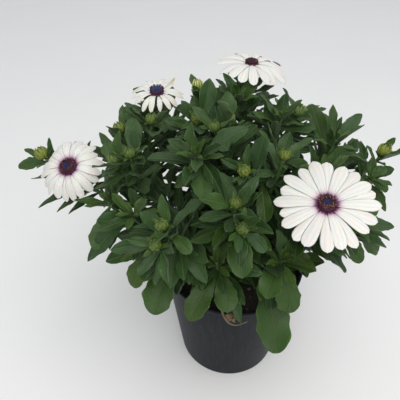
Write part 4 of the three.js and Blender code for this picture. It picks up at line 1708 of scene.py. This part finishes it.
    def loosened(self, leaf: Leaf, draw: Draw) -> Leaf:
        """Rolls a leaf about its own line, narrows it and folds it.

        Args:
            leaf: The leaf.
            draw: The series of numbers that it varies by.

        Returns:
            The changed leaf.
        """
        up = turned(leaf.up, unit(leaf.tip - leaf.base), draw.between(-self.rolled, self.rolled))
        width = leaf.width * draw.between(*self.narrowed)
        return replace(leaf, up=up, width=width, folded=draw.between(*self.folded))

    def add_axis(self, store: MeshStore, axis: Axis) -> None:
        """Adds a stem or shoot: a ribbed round body, slightly swollen where leaves leave it.

        Args:
            store: The mesh.
            axis: Its line.
        """
        rings, youth = [], []
        if axis.rooted:
            foot = Spot.of(axis.curve.points[0], UP, axis.reference)
            depths = (-HOLE_DEPTH - STEM_COLLAR, -0.5 * HOLE_DEPTH, -STEM_COLLAR, -1.5)
            rings = [foot.ring(STEM_RADIUS, depth, self.sides, self.ridge) for depth in depths]
            youth = [0.0] * len(depths)
        phase = store.draw.between(0, 1)
        for share in np.linspace(0.0 if axis.rooted else 0.01, 1, round(axis.length / self.ring_step)):
            knot = math.cos(2 * math.pi * (share * axis.length / self.knot_step + phase))
            radius = axis.radius_at(share) * (1 + self.knot * max(knot, 0))
            rings.append(axis.spot(share).ring(radius, 0, self.sides, self.ridge))
            youth.append(share if axis.rooted else 0.5 + 0.5 * share)
        tone = np.zeros((len(rings), self.sides, 3))
        tone[..., 0] = store.draw.between(0, 1)
        tone[..., 1] = np.array(youth)[:, None]
        tip = axis.spot(1).ahead(TIP_RADIUS)
        store.loft(np.stack(rings), rings[0].mean(0), tip, Part.STEM.value, tone=tone)

    def add_end(self, store: MeshStore, axis: Axis) -> None:
        """Adds what a stem or shoot ends in, with the young leaves round it.

        Args:
            store: The mesh.
            axis: The line of the stem or shoot.
        """
        spot, kind = axis.spot(1), axis.part.end
        if kind is End.BUD:
            self.bud.sized(axis.part.size).add(store, spot, store.draw.between(0, 1))
        elif kind is End.OPENING_BUD:
            self.opening_cup.add(store, spot, 0.5)
        elif kind is End.BLOOM:
            self.cup.add(store, spot, 0)
        if kind in self.YOUNG:
            self.add_young(store, axis)

    def add_young(self, store: MeshStore, axis: Axis) -> None:
        """Adds the young leaves round the end of a stem or shoot.

        Args:
            store: The mesh.
            axis: The line of the stem or shoot.
        """
        draw = store.draw
        count, long, leans = self.YOUNG[axis.part.end]
        size = axis.part.size if axis.part.end is End.LEAF else 1
        first = draw.between(0, self.golden)
        for k in range(count):
            share = k / (count - 1)
            spot = axis.spot(between(0.94, 1, share))
            away = spot.outward(first + k * self.golden)
            lean = between(*leans, share) + draw.between(-6, 6)
            length = size * between(*long, share) * draw.between(0.85, 1.15)
            bend = UP * draw.between(-0.35, 0.2) + away * 0.25
            width, youth = draw.between(*self.young_wide), between(0.55, 1, share)
            leaf = Leaf.sprung(spot, spot.point, away, lean, length, bend, width, youth=youth)
            self.leaf.add(store, leaf, self.small_stations)


# ---- Blooms ------------------------------------------------------------------------------------------


@dataclass(frozen=True)
class PetalRing:
    """The ray petals of a bloom: straps in two layers, each with two long grooves and a blunt tip."""

    thick: float = 0.34
    groove: float = 0.18
    groove_at: float = 0.38  # share of the way from a petal's middle to its edge
    groove_half: float = 0.09
    arched: float = 0.14  # how far the edges lie below the middle, over the half width
    wavy: float = 0.06  # likewise how far they wave
    notch: float = 0.025  # depth of the notches in the tip, over the width
    stations: int = 24
    foot: float = 2.2  # how far a petal starts inside the hub
    layers: float = 0.55  # height between the two layers, over the solids'
    stands: float = 13  # how far the tip of a standing petal is raised
    slender: float = 0.6  # width of a standing petal over a common one
    strays: float = 2.4  # degrees by which a fine petal may lie beside its solid one
    shortened: tuple[float, float] = (0.95, 1.01)  # length over the solid one
    rolled: float = 9  # degrees, at most

    HUB = ((5.7, 0), (6.3, 0.3), (6.5, 1), (6.3, 1.7), (5.7, 2))  # radii and heights

    def build(self, name: str, bloom: Bloom, number: int, finish: bpy.types.Material) -> None:
        """Builds the petals of one bloom.

        Args:
            name: The bloom's name.
            bloom: The bloom.
            number: Its place among the blooms, which seeds its draws.
            finish: The petals' material.
        """
        store, draw = MeshStore(f"fine_petals_{name}", [finish], 500 + number), Draw(100 + number)
        for k in range(bloom.petals):
            self.add_petal(store, bloom, k, draw)
        # The low hub that the petals grow from, purple all over, lies under the edge of the disc.
        spot = bloom.spot()
        rings = spot.rings([(bloom.disc * radius, height) for radius, height in self.HUB], 40)
        store.loft(rings, spot.point, spot.ahead(HUB_HEIGHT), tone=(0.5, 0, 0))
        dress(store.piece(), "petals", f"petals_{name}")

    def add_petal(self, store: MeshStore, bloom: Bloom, k: int, draw: Draw) -> None:
        """Adds one petal on the line of its solid one.

        Args:
            store: The mesh.
            bloom: The bloom.
            k: Its place round the hub. The odd ones lie in the upper layer.
            draw: The series of numbers that the solid petals vary by.
        """
        spot, fine = bloom.spot().raised(HUB_HEIGHT / 2), store.draw
        standing = k == bloom.standing
        turn = 2 * math.pi * (k + 0.5 + draw.between(-0.1, 0.1)) / bloom.petals
        way = spot.outward(turn + math.radians(fine.between(-self.strays, self.strays)))
        side = np.cross(spot.tangent, way)
        level = self.layers * PETAL_LAYER * (1 if k % 2 else -1)
        reach = bloom.radius * draw.between(0.94, 1.03) * bloom.long * fine.between(*self.shortened)
        tilt = vector(bloom.tilted) @ (way @ spot.right, way @ spot.over)
        tip = spot.ahead(level - bloom.drop * draw.between(0.8, 1.2) - tilt) + way * reach
        foot = spot.ahead(0.8 * level) + way * HUB_RADIUS
        middle = spot.ahead(level + bloom.arch) + way * between(HUB_RADIUS, reach, 0.5)
        if standing:
            tip = tip + (spot.tangent - 0.5 * way) * self.stands
        curve = Curve(foot, middle, tip + side * bloom.ragged * draw.between(-1, 1))
        width = bloom.width * draw.between(0.94, 1.05)

        # The strap is widest near its blunt tip, arched across, waved and rolled a little.
        at = 1 - (1 - np.linspace(0.003, 0.975, self.stations)) ** 1.7
        s, groove = at[:, None], self.groove_at
        x, under = section((1, 0.85, 0.62, 0.5, groove, 0.26), (0.8, 0.38))
        width *= bloom.slim * fine.between(0.86, 1) * (self.slender if standing else 1)
        widest = bloom.widest * fine.between(0.93, 1.03)
        tip_share = np.clip((s - widest) / (1 - widest), 0, 1)
        rounded = (1 - tip_share ** fine.between(2.1, 2.7)) ** 0.5
        half = 0.5 * width * (0.5 + 0.5 * smooth(-0.05, widest, s)) * rounded
        roll = fine.between(-self.rolled, self.rolled) * min(bloom.ragged, 2)
        roll = math.radians(roll) * smooth(0.1, 0.9, s)
        wave = np.sin(2 * math.pi * (1.1 * s + fine.between(0, 1)) + 1.5 * x)
        across = x * half
        height = self.wavy * half * wave * np.abs(x) * smooth(0.2, 0.8, s) - self.arched * half * x**2
        line = np.exp(-(((np.abs(x) - groove) / self.groove_half) ** 2)) * (1 - under)
        height = height - self.groove * line * smooth(0, 0.3, s) * smooth(1, 0.75, s)
        height = height + across * np.tan(roll) - under * self.thick * (1 - 0.5 * x**4)

        tangents = curve.tangent(at)
        rings = blade_rings(curve.at(at), side, unit(np.cross(tangents, side)), across, height)
        # Each groove ends in a shallow notch.
        notch = self.notch * bloom.width * (1 - np.cos(2 * math.pi * (x - groove) / (2 * groove + 0.1)))
        rings = rings - (notch * s**8)[..., None] * tangents[:, None]
        blade = point_values(across, between(HUB_RADIUS, reach, s) + bloom.paler, np.abs(x))
        creamy = 1 if standing else bloom.cream * smooth(0.2, 0.9, s)
        start = curve.at(0) - curve.tangent(0) * self.foot
        end = rings[-1].mean(0) + tangents[-1] * 0.3
        store.loft(rings, start, end, blade=blade, tone=point_values(fine.between(0, 1), creamy, under))


@dataclass(frozen=True)
class Disc:
    """The middle of a bloom: a low dome of tube florets, open at the rim and still closed in the middle."""

    florets: int = 120
    radius: float = 5.6
    spread: float = 0.97  # share of the radius that the florets stand on
    leans: float = 0.5  # how far the outermost floret leans out, over its length
    foot: float = 0.3  # how high that floret stands
    rise: float = 1.2  # and how much higher the middle one
    open_long: float = 1.9
    closed_long: float = 1.6
    lobe: float = 0.28  # how far a mouth's five lobes stand out, over its radius

    # Radii and heights, those of a floret over its length.
    DOME = ((5.6, 0.1), (5.9, 0.5), (5.6, 0.9), (4.8, 1.2), (3.6, 1.4), (2, 1.5))
    CLOSED = ((0.5, -0.5), (0.56, 0.1), (0.5, 0.6), (0.25, 0.9))
    TUBE = ((0.4, -0.5), (0.45, 0.55))
    MOUTH = ((0.58, 0.85), (0.8, 1), (0.42, 0.94), (0.25, 0.7))
    COLUMN = ((0.2, 0.5), (0.24, 1.15), (0.19, 1.3))

    FLORET, BUD, POLLEN = 0, 1, 2  # the finishes' places on the mesh

    def build(self, name: str, bloom: Bloom, number: int, finishes: Sequence[bpy.types.Material]) -> None:
        """Builds the disc of one bloom.

        Args:
            name: The bloom's name.
            bloom: The bloom.
            number: Its place among the blooms, which seeds its draws.
            finishes: The materials of open florets, closed ones and pollen.
        """
        store = MeshStore(f"fine_disc_{name}", finishes, 600 + number)
        spot = bloom.spot().raised(HUB_HEIGHT + GAP)
        rings = spot.rings([(bloom.disc * radius, bloom.dome * height) for radius, height in self.DOME], 36)
        store.loft(rings, spot.point, spot.ahead(1.55 * bloom.dome), self.FLORET, tone=(0.2, 0.2, 0))
        golden = math.pi * (3 - math.sqrt(5))
        for k in range(self.florets):
            self.add_floret(store, spot, math.sqrt((k + 0.5) / self.florets), k * golden, bloom)
        dress(store.piece(), "disc", f"disc_{name}")

    def add_floret(self, store: MeshStore, spot: Spot, share: float, bearing: float, bloom: Bloom) -> None:
        """Adds one floret.

        Args:
            store: The mesh.
            spot: The foot of the disc.
            share: Its distance from the disc's middle, over the radius.
            bearing: Its bearing, in radians.
            bloom: The bloom.
        """
        draw = store.draw
        is_open = share > 1 - bloom.opened
        out, place = spot.outward(bearing), self.spread * share
        level = bloom.dome * (self.foot + self.rise * math.sqrt(1 - place**2))
        root = spot.ahead(level) + out * bloom.disc * self.radius * place
        own = Spot.of(root, unit(spot.tangent + out * self.leans * share**2), out)
        tone = (draw.between(0, 1), share if is_open else 0, 0)
        if not is_open:
            long = bloom.dome * self.closed_long * draw.between(0.75, 1.2)
            rings = own.rings([(radius, long * height) for radius, height in self.CLOSED], 6)
            store.loft(rings, own.ahead(-1), own.ahead(1.05 * long), self.BUD, tone=tone)
            return
        long = bloom.dome * self.open_long * draw.between(0.8, 1.15)
        lobed = 1 + self.lobe * np.cos(5 * np.arange(10) * (2 * math.pi / 10))
        tube = [(radius, long * height) for radius, height in self.TUBE]
        mouth = [(radius * lobed, long * height) for radius, height in self.MOUTH]
        store.loft(own.rings(tube + mouth, 10), own.ahead(-1), own.ahead(0.6 * long), self.FLORET, tone=tone)
        finish = self.POLLEN if draw.between(0, 1) < bloom.pollen else self.FLORET
        rings = own.rings([(radius, long * height) for radius, height in self.COLUMN], 6)
        store.loft(rings, own.point, own.ahead(1.38 * long), finish, tone=tone)


@dataclass(frozen=True)
class RolledRays:
    """The pale rays of an opening bud, still rolled and leaning together over its cup."""

    counts: tuple[int, int] = (11, 5)  # in the outer and the inner ring
    width: float = 2.7
    thick: float = 0.5
    stations: int = 9
    heights: tuple[float, ...] = (0, 2, 4, 6, 7.6)  # the profile that the rays follow
    radii: tuple[float, ...] = (4.4, 4.8, 4.5, 3.6, 2.5)

    def build(self, axis: Axis) -> None:
        """Builds the rays that stand in the cup of the bud.

        Args:
            axis: The line of the shoot that the bud ends.
        """
        store = MeshStore("fine_opening_bud_rays", [RayTipFinish().material()], 700)
        spot = axis.spot(1).raised(OPENING_CUP + GAP)
        core = [(0.72 * radius, 0.7 * height) for radius, height in zip(self.radii, self.heights)]
        store.loft(spot.rings(core, 20), spot.point, spot.ahead(5.6), tone=(0.2, 0, 0))
        for ring, count in enumerate(self.counts):
            for k in range(count):
                bearing = 2 * math.pi * (k + 0.5 * ring + store.draw.between(-0.12, 0.12)) / count
                high = RAYS_LENGTH * (1 - 0.04 * ring) * store.draw.between(0.7, 1)
                self.add_ray(store, spot, bearing, high, 1 - 0.35 * ring)
        dress(store.piece(), "rolled_rays", "opening_bud_rays")

    def add_ray(self, store: MeshStore, spot: Spot, bearing: float, high: float, spread: float) -> None:
        """Adds one rolled ray.

        Args:
            store: The mesh.
            spot: The rim of the cup.
            bearing: Its bearing round the bud, in radians.
            high: How high it stands.
            spread: The ray's distance from the middle, over the profile's.
        """
        share = np.linspace(0, 0.97, self.stations)
        levels = high * share
        radii = spread * np.interp(levels, self.heights, self.radii)
        halves = 0.5 * self.width * (1 - share**1.8) ** 0.8
        x, under = section((1, 0.5), (0.5,))
        rings = standing_rings(spot, bearing, levels, radii, halves, x, self.thick * (1 - x**2 - under))
        foot, tip = rings[0].mean(0) - spot.tangent, rings[-1].mean(0) + spot.tangent * 0.3
        store.loft(rings, foot, tip, blade=point_values(0, levels[:, None], np.abs(x)), tone=(0.5, 0, 0))


# ---- Pot and peat ------------------------------------------------------------------------------------


def wall_radius(z: float) -> float:
    """Returns the pot's outer radius at a height, without its lip."""
    return between(POT_BASE_RADIUS, POT_RIM_RADIUS - POT_LIP, z / POT_HEIGHT)


@dataclass
class Pot:
    """The thin-walled nursery pot: one moulding with a low lip, soft edges and six drain holes."""

    segments: int = 144
    soft: float = 0.45  # radius of its soft edges
    hole_sides: int = 32
    cut: tuple[float, float] = (-3, 6)  # heights between which the drain holes are cut
    crease: float = 50  # degrees from which an edge stays sharp

    def profile(self) -> list[tuple[float, float]]:
        """Draws the outline from the middle of its underside round the rim to the middle of its floor.

        Returns:
            The outline's radii and heights.
        """
        soft, rim = self.soft, POT_RIM_RADIUS
        lip_foot = POT_HEIGHT - POT_LIP_HEIGHT
        inner_rim = wall_radius(POT_HEIGHT) - POT_WALL
        inner_foot = wall_radius(POT_FLOOR) - POT_WALL
        return [
            (POT_BASE_RADIUS - 3, 0),
            (POT_BASE_RADIUS - 2, 0.1),
            (POT_BASE_RADIUS - 0.7, 0.7),
            *((wall_radius(z), z) for z in (2, 4, 40, 86, lip_foot - 1, lip_foot)),
            (rim - soft, lip_foot + 0.35),
            (rim, lip_foot + 1),
            (rim, POT_HEIGHT - soft),
            (rim - 0.3 * soft, POT_HEIGHT - 0.3 * soft),
            (rim - soft, POT_HEIGHT),
            (inner_rim + soft, POT_HEIGHT),
            (inner_rim + 0.3 * soft, POT_HEIGHT - 0.3 * soft),
            *((wall_radius(z) - POT_WALL, z) for z in (POT_HEIGHT - soft, 90, 45, POT_FLOOR + 2)),
            (inner_foot - 0.4, POT_FLOOR + 0.6),
            (inner_foot - 2, POT_FLOOR),
        ]

    def drains(self) -> bpy.types.Object:
        """Makes the six columns that the drain holes are cut with.

        Returns:
            The columns as one object.
        """
        store = MeshStore("drain_columns")
        for k in range(DRAIN_HOLES):
            way = ORIGIN.outward(2 * math.pi * (k + 0.5) / DRAIN_HOLES)
            spot = Spot.of(way * DRAIN_RING_RADIUS, UP)
            rings = spot.rings([(DRAIN_HOLE_RADIUS, z) for z in self.cut], self.hole_sides)
            store.loft(rings, *(spot.ahead(z) for z in self.cut))
        return store.piece()

    def build(self) -> None:
        """Turns the profile, cuts the holes and sets the pot in place."""
        store = MeshStore("fine_pot", [PotFinish().material()])
        store.loft(ORIGIN.rings(self.profile(), self.segments), ORIGIN.point, ORIGIN.ahead(POT_FLOOR))
        pot, drains = store.piece(), self.drains()
        cut = pot.modifiers.new("drain_holes", "BOOLEAN")
        cut.object = drains
        cut.operation = "DIFFERENCE"
        bpy.context.view_layer.update()
        shape = pot.evaluated_get(bpy.context.evaluated_depsgraph_get())
        cut_mesh = bpy.data.meshes.new_from_object(shape)
        pot.modifiers.clear()
        pot.data = cut_mesh
        bpy.data.objects.remove(drains)
        pot.data.set_sharp_from_angle(angle=math.radians(self.crease))
        dress(pot, "pot", "pot")


@dataclass
class Peat:
    """The peat: a body with an uneven crumbly surface, loose crumbs and a few root fibres on it."""

    segments: int = 150
    rings: int = 44
    clear: float = 0.5  # from the pot's wall
    relief: tuple[tuple[float, float], ...] = ((17, 1.6), (5, 1.1), (1.8, 0.5))  # size, height of lumps
    crumbs: int = 900
    crumb_size: tuple[float, float] = (0.5, 2.2)
    crumb_sides: int = 7
    fibres: int = 45
    fibre_thick: float = 0.22
    fibre_long: tuple[float, float] = (6, 18)

    CRUMB = ((0.6, -0.7), (1, -0.2), (0.9, 0.35), (0.5, 0.75))  # radii and heights over its size

    PEAT, FIBRE = 0, 1  # the finishes' places on the mesh

    def level(self, x: float, y: float) -> float:
        """Returns the height of the peat's surface at a place."""
        top = SOIL_TOP + 1 - math.hypot(x, y) / wall_radius(SOIL_TOP)
        return top + sum(high * noise.noise(Vector((x / size, y / size, size))) for size, high in self.relief)

    def build(self) -> None:
        """Builds the body with all that lies on it."""
        store = MeshStore("fine_peat", [PeatFinish().material(), DriedFinish().material()], 800)
        floor = POT_FLOOR + GAP
        foot, edge = (wall_radius(z) - POT_WALL - self.clear for z in (floor, SOIL_TOP))
        rings = [ORIGIN.ring(radius, z, self.segments) for radius, z in ((foot, floor), (edge, SOIL_TOP - 2))]
        for share in np.linspace(1, 0.02, self.rings):
            ring = ORIGIN.ring(edge * share, SOIL_TOP, self.segments)
            ring[:, 2] = [self.level(x, y) for x, y, _ in ring]
            rings.append(ring)
        store.loft(np.stack(rings), UP * floor, UP * self.level(0, 0), self.PEAT, tone=(0.3, 0, 0))
        for _ in range(self.crumbs):
            self.add_crumb(store, self.place(edge - 1, store.draw))
        for _ in range(self.fibres):
            self.add_fibre(store, self.place(edge - 4, store.draw), edge - 1)
        dress(store.piece(), "peat", "soil")

    def place(self, reach: float, draw: Draw) -> Array:
        """Picks a point of the surface.

        Args:
            reach: How far from the middle it may lie.
            draw: The series of numbers that it is drawn from.

        Returns:
            The point.
        """
        bearing, out = draw.between(0, 2 * math.pi), reach * math.sqrt(draw.between(0, 1))
        x, y = out * math.cos(bearing), out * math.sin(bearing)
        return vector((x, y, self.level(x, y)))

    def add_crumb(self, store: MeshStore, middle: Array) -> None:
        """Adds one irregular crumb.

        Args:
            store: The mesh.
            middle: Its middle.
        """
        draw, sides = store.draw, self.crumb_sides
        size = between(*self.crumb_size, draw.between(0, 1) ** 3)
        way = unit(vector((draw.between(-1, 1), draw.between(-1, 1), draw.between(0.2, 1))))
        spot = Spot.of(middle, way, (0.3, 0.9, 0.1))
        profile = []
        for radius, height in self.CRUMB:
            uneven = vector(draw.between(0.7, 1.15) for _ in range(sides))
            profile.append((size * radius * uneven, 0.8 * size * height))
        ends = (spot.ahead(-0.75 * size), spot.ahead(0.75 * size))
        store.loft(spot.rings(profile, sides), *ends, self.PEAT, tone=(draw.between(0, 1), 0, 0))

    def add_fibre(self, store: MeshStore, first: Array, reach: float) -> None:
        """Adds one bent root fibre that lies on the crumbs.

        Args:
            store: The mesh.
            first: Where it starts.
            reach: How far from the middle it may lie.
        """
        draw = store.draw
        bearing, long = draw.between(0, 2 * math.pi), draw.between(*self.fibre_long)
        way = vector((math.cos(bearing), math.sin(bearing), 0))
        bend = vector((-way[1], way[0], 0)) * draw.between(-0.35, 0.35) * long
        points = Curve(first, first + way * 0.5 * long + bend, first + way * long).at(np.linspace(0, 1, 8))
        points = points[np.hypot(points[:, 0], points[:, 1]) < reach]
        if len(points) < 4:
            return
        points[:, 2] = [self.level(x, y) + 0.5 for x, y, _ in points]
        ways = unit(np.gradient(points, axis=0))
        up = [UP] * len(points)
        store.thread(points, ways, up, self.fibre_thick, 5, self.FIBRE, draw.between(0, 1))


@dataclass(frozen=True)
class Litter:
    """A crumpled shred of dead leaf on the front of the rim, with dried root fibres and a looped one."""

    # The way over the rim, as distances from the pot's middle and heights.
    over: tuple[tuple[float, float], ...] = (
        (58, 127.6), (63, 129), (66, 134), (66.7, 138.7),
        (68.5, 139.6), (70.7, 138.4), (70.9, 134), (70.7, 126),
    )
    # The points that bend the looped fibre: bearings in degrees, distances from the middle and heights.
    loop: tuple[tuple[float, float, float], ...] = (
        (-104, 63, 129), (-103, 65, 150), (-100, 76, 140), (-98, 72, 122), (-91, 71, 119), (-83, 71.6, 128.5),
    )
    strands: tuple[tuple[float, float], ...] = ((0, 0.42), (0.9, 0.26))  # how far aside, and radius
    fibres: int = 8
    fibre_thick: tuple[float, float] = (0.12, 0.25)
    bearings: tuple[float, float] = (-98.5, -91.5)
    flakes: int = 34
    flake_long: tuple[float, float] = (0.9, 2.4)
    clings: float = 70.8  # how far from the pot's middle the flakes cling
    deepest: float = 9  # how far below the rim they reach

    FLAKE = ((0.5, -0.8), (1, -0.3), (0.9, 0.3), (0.4, 0.8))  # half widths and places over its length

    def at(self, bearing: Array | float, out: Array | float, height: Array | float) -> Array:
        """Returns the points at bearings in degrees, distances from the middle and heights."""
        turn = np.radians(bearing)
        return np.stack([out * np.cos(turn), out * np.sin(turn), height], axis=-1)

    def build(self) -> None:
        """Builds the fibres and flakes."""
        store = MeshStore("fine_dried_litter", [DriedFinish().material()], 900)
        draw = store.draw
        share, known = np.linspace(0, 1, 16), np.linspace(0, 1, len(self.over))
        for _ in range(self.fibres):
            first = draw.between(*self.bearings)
            bearing, until = between(first, first + draw.between(-6, 6), share), draw.between(0.6, 0.86)
            out, height = (np.interp(until * share, known, column) for column in zip(*self.over))
            self.add_fibre(store, self.at(bearing, out, height), draw.between(*self.fibre_thick))
        bearing, out, height = Curve(*map(vector, self.loop)).at(np.linspace(0, 1, 30)).T
        for aside, thick in self.strands:
            self.add_fibre(store, self.at(bearing + aside, out, height + aside), thick)
        for _ in range(self.flakes):
            self.add_flake(store)
        dress(store.piece(), "peat")

    def add_fibre(self, store: MeshStore, points: Array, thick: float) -> None:
        """Adds one fibre.

        Args:
            store: The mesh.
            points: The points that it follows.
            thick: Its radius.
        """
        outward = unit(points * (1, 1, 0))
        moved = points + outward * store.draw.between(0, 0.5)
        ways = unit(np.gradient(points, axis=0))
        store.thread(moved, ways, outward, thick, 6, 0, store.draw.between(0.4, 1))

    def add_flake(self, store: MeshStore) -> None:
        """Adds one crumpled flake of leaf that clings to the others.

        Args:
            store: The mesh.
        """
        draw, (low, high) = store.draw, self.bearings
        bearing = draw.between(low, high)
        depth = self.deepest * draw.between(-0.12, 1) * smooth(low - 1, mix(low, high, 0.6), bearing)
        out = self.clings + draw.between(0, 1.3) - 2.5 * smooth(0.5, -0.8, depth)
        middle = self.at(bearing, out, POT_HEIGHT - depth)
        outward = unit(middle * (1, 1, 0))
        way = unit(UP * draw.between(-1, 1) + np.cross(UP, outward) * draw.between(-1, 1))
        spot = Spot.of(middle, way, outward)
        long = draw.between(*self.flake_long)
        rings = []
        for wide, place in self.FLAKE:
            uneven = vector(draw.between(0.7, 1.2) for _ in range(8))
            ring = spot.ring(0.5 * long * wide * uneven, place * long, 8)
            flat = (ring - spot.point) @ outward
            rings.append(ring - flat[:, None] * outward * 0.6 + outward * draw.between(-0.3, 0.3))
        ends = (spot.ahead(-long), spot.ahead(long))
        store.loft(np.stack(rings), *ends, tone=(draw.between(0, 0.6), 0, 0))


# ---- Studio ------------------------------------------------------------------------------------------


@dataclass(frozen=True)
class Lamp:
    """A round soft lamp that shines on the plant."""

    name: str
    size: float
    watts: float
    place: tuple[float, float, float]
    colour: str = "#fffdf8"
    aim: tuple[float, float, float] = (0, 0, 180)

    def build(self) -> None:
        """Hangs the lamp."""
        lamp = bpy.data.lights.new(self.name, "AREA")
        lamp.shape = "DISK"
        lamp.size = self.size * MM
        lamp.energy = self.watts
        lamp.color = linear(self.colour)[:3]
        hung = bpy.data.objects.new(self.name, lamp)
        hung.location = Vector(self.place) * MM
        hung.rotation_euler = (Vector(self.aim) - Vector(self.place)).to_track_quat("-Z", "Y").to_euler()
        bpy.context.scene.collection.objects.link(hung)


@dataclass
class Studio:
    """The floor, the soft light and the camera."""

    floor_half: float = 4000  # from its middle to a corner
    floor_thick: float = 20
    lamps: tuple[Lamp, ...] = (
        Lamp("key", 2400, 21.5, (350, -450, 1900)),
        Lamp("front", 700, 6.4, (-120, -1000, 1250)),
    )
    sky_colour: str = "#f2f5fa"
    sky_strength: float = 0.7
    eye: tuple[float, float, float] = (-33.5, -305.7, 478.3)
    tilt: float = 41.1  # degrees below level
    roll: float = 0.4
    lens: float = 40.68
    sensor: float = 36

    def build(self) -> None:
        """Builds the floor, the lights and the camera."""
        self.build_floor()
        self.build_lights()
        self.build_camera()

    def build_floor(self) -> None:
        """Builds the painted board under the pot."""
        store = MeshStore("floor", [FloorFinish().material()])
        spot = Spot.of(np.zeros(3), UP, (1, 1, 0))
        rings = spot.rings([(self.floor_half, z) for z in (-self.floor_thick, 0)], 4)
        store.loft(rings, spot.ahead(-self.floor_thick), spot.point)
        store.piece(smooth_faces=False)

    def build_lights(self) -> None:
        """Builds a large soft lamp overhead, a smaller one in front and a pale sky."""
        for lamp in self.lamps:
            lamp.build()
        world = bpy.data.worlds.new("pale_sky")
        world.use_nodes = True
        sky = world.node_tree.nodes["Background"]
        sky.inputs["Color"].default_value = linear(self.sky_colour)
        sky.inputs["Strength"].default_value = self.sky_strength
        bpy.context.scene.world = world
        bpy.context.scene.view_settings.view_transform = "Standard"

    def build_camera(self) -> None:
        """Builds the camera, which looks down at the blooms from the front."""
        down = math.radians(self.tilt)
        level, ahead = vector((1, 0, 0)), vector((0, math.cos(down), -math.sin(down)))
        right, top = (turned(side, ahead, -self.roll) for side in (level, np.cross(level, ahead)))
        lens = bpy.data.cameras.new("camera")
        lens.lens = self.lens
        lens.sensor_width = self.sensor
        lens.clip_start = 0.01
        camera = bpy.data.objects.new("camera", lens)
        place = Matrix(np.stack([right, top, -ahead], axis=1).tolist()).to_4x4()
        place.translation = Vector(self.eye) * MM
        camera.matrix_world = place
        bpy.context.scene.collection.objects.link(camera)
        bpy.context.scene.camera = camera


# ---- The whole ---------------------------------------------------------------------------------------


def main() -> None:
    """Builds the studio, the pot with its peat, the leafy stems and the blooms."""
    logging.basicConfig(level=logging.INFO, format="%(name)s: %(message)s")
    for part in (Studio, Pot, Peat, Litter, LeafyStems):
        part().build()
    petals = PetalFinish().material()
    florets = [finish().material() for finish in (FloretFinish, FloretBudFinish, PollenFinish)]
    for number, (name, bloom) in enumerate(BLOOMS.items()):
        PetalRing().build(name, bloom, number, petals)
        Disc().build(name, bloom, number, florets)
    opening = next(axis for stem in STEMS for axis in stem_axes(stem) if axis.part.end is End.OPENING_BUD)
    RolledRays().build(opening)


if __name__ == "__main__":
    main()
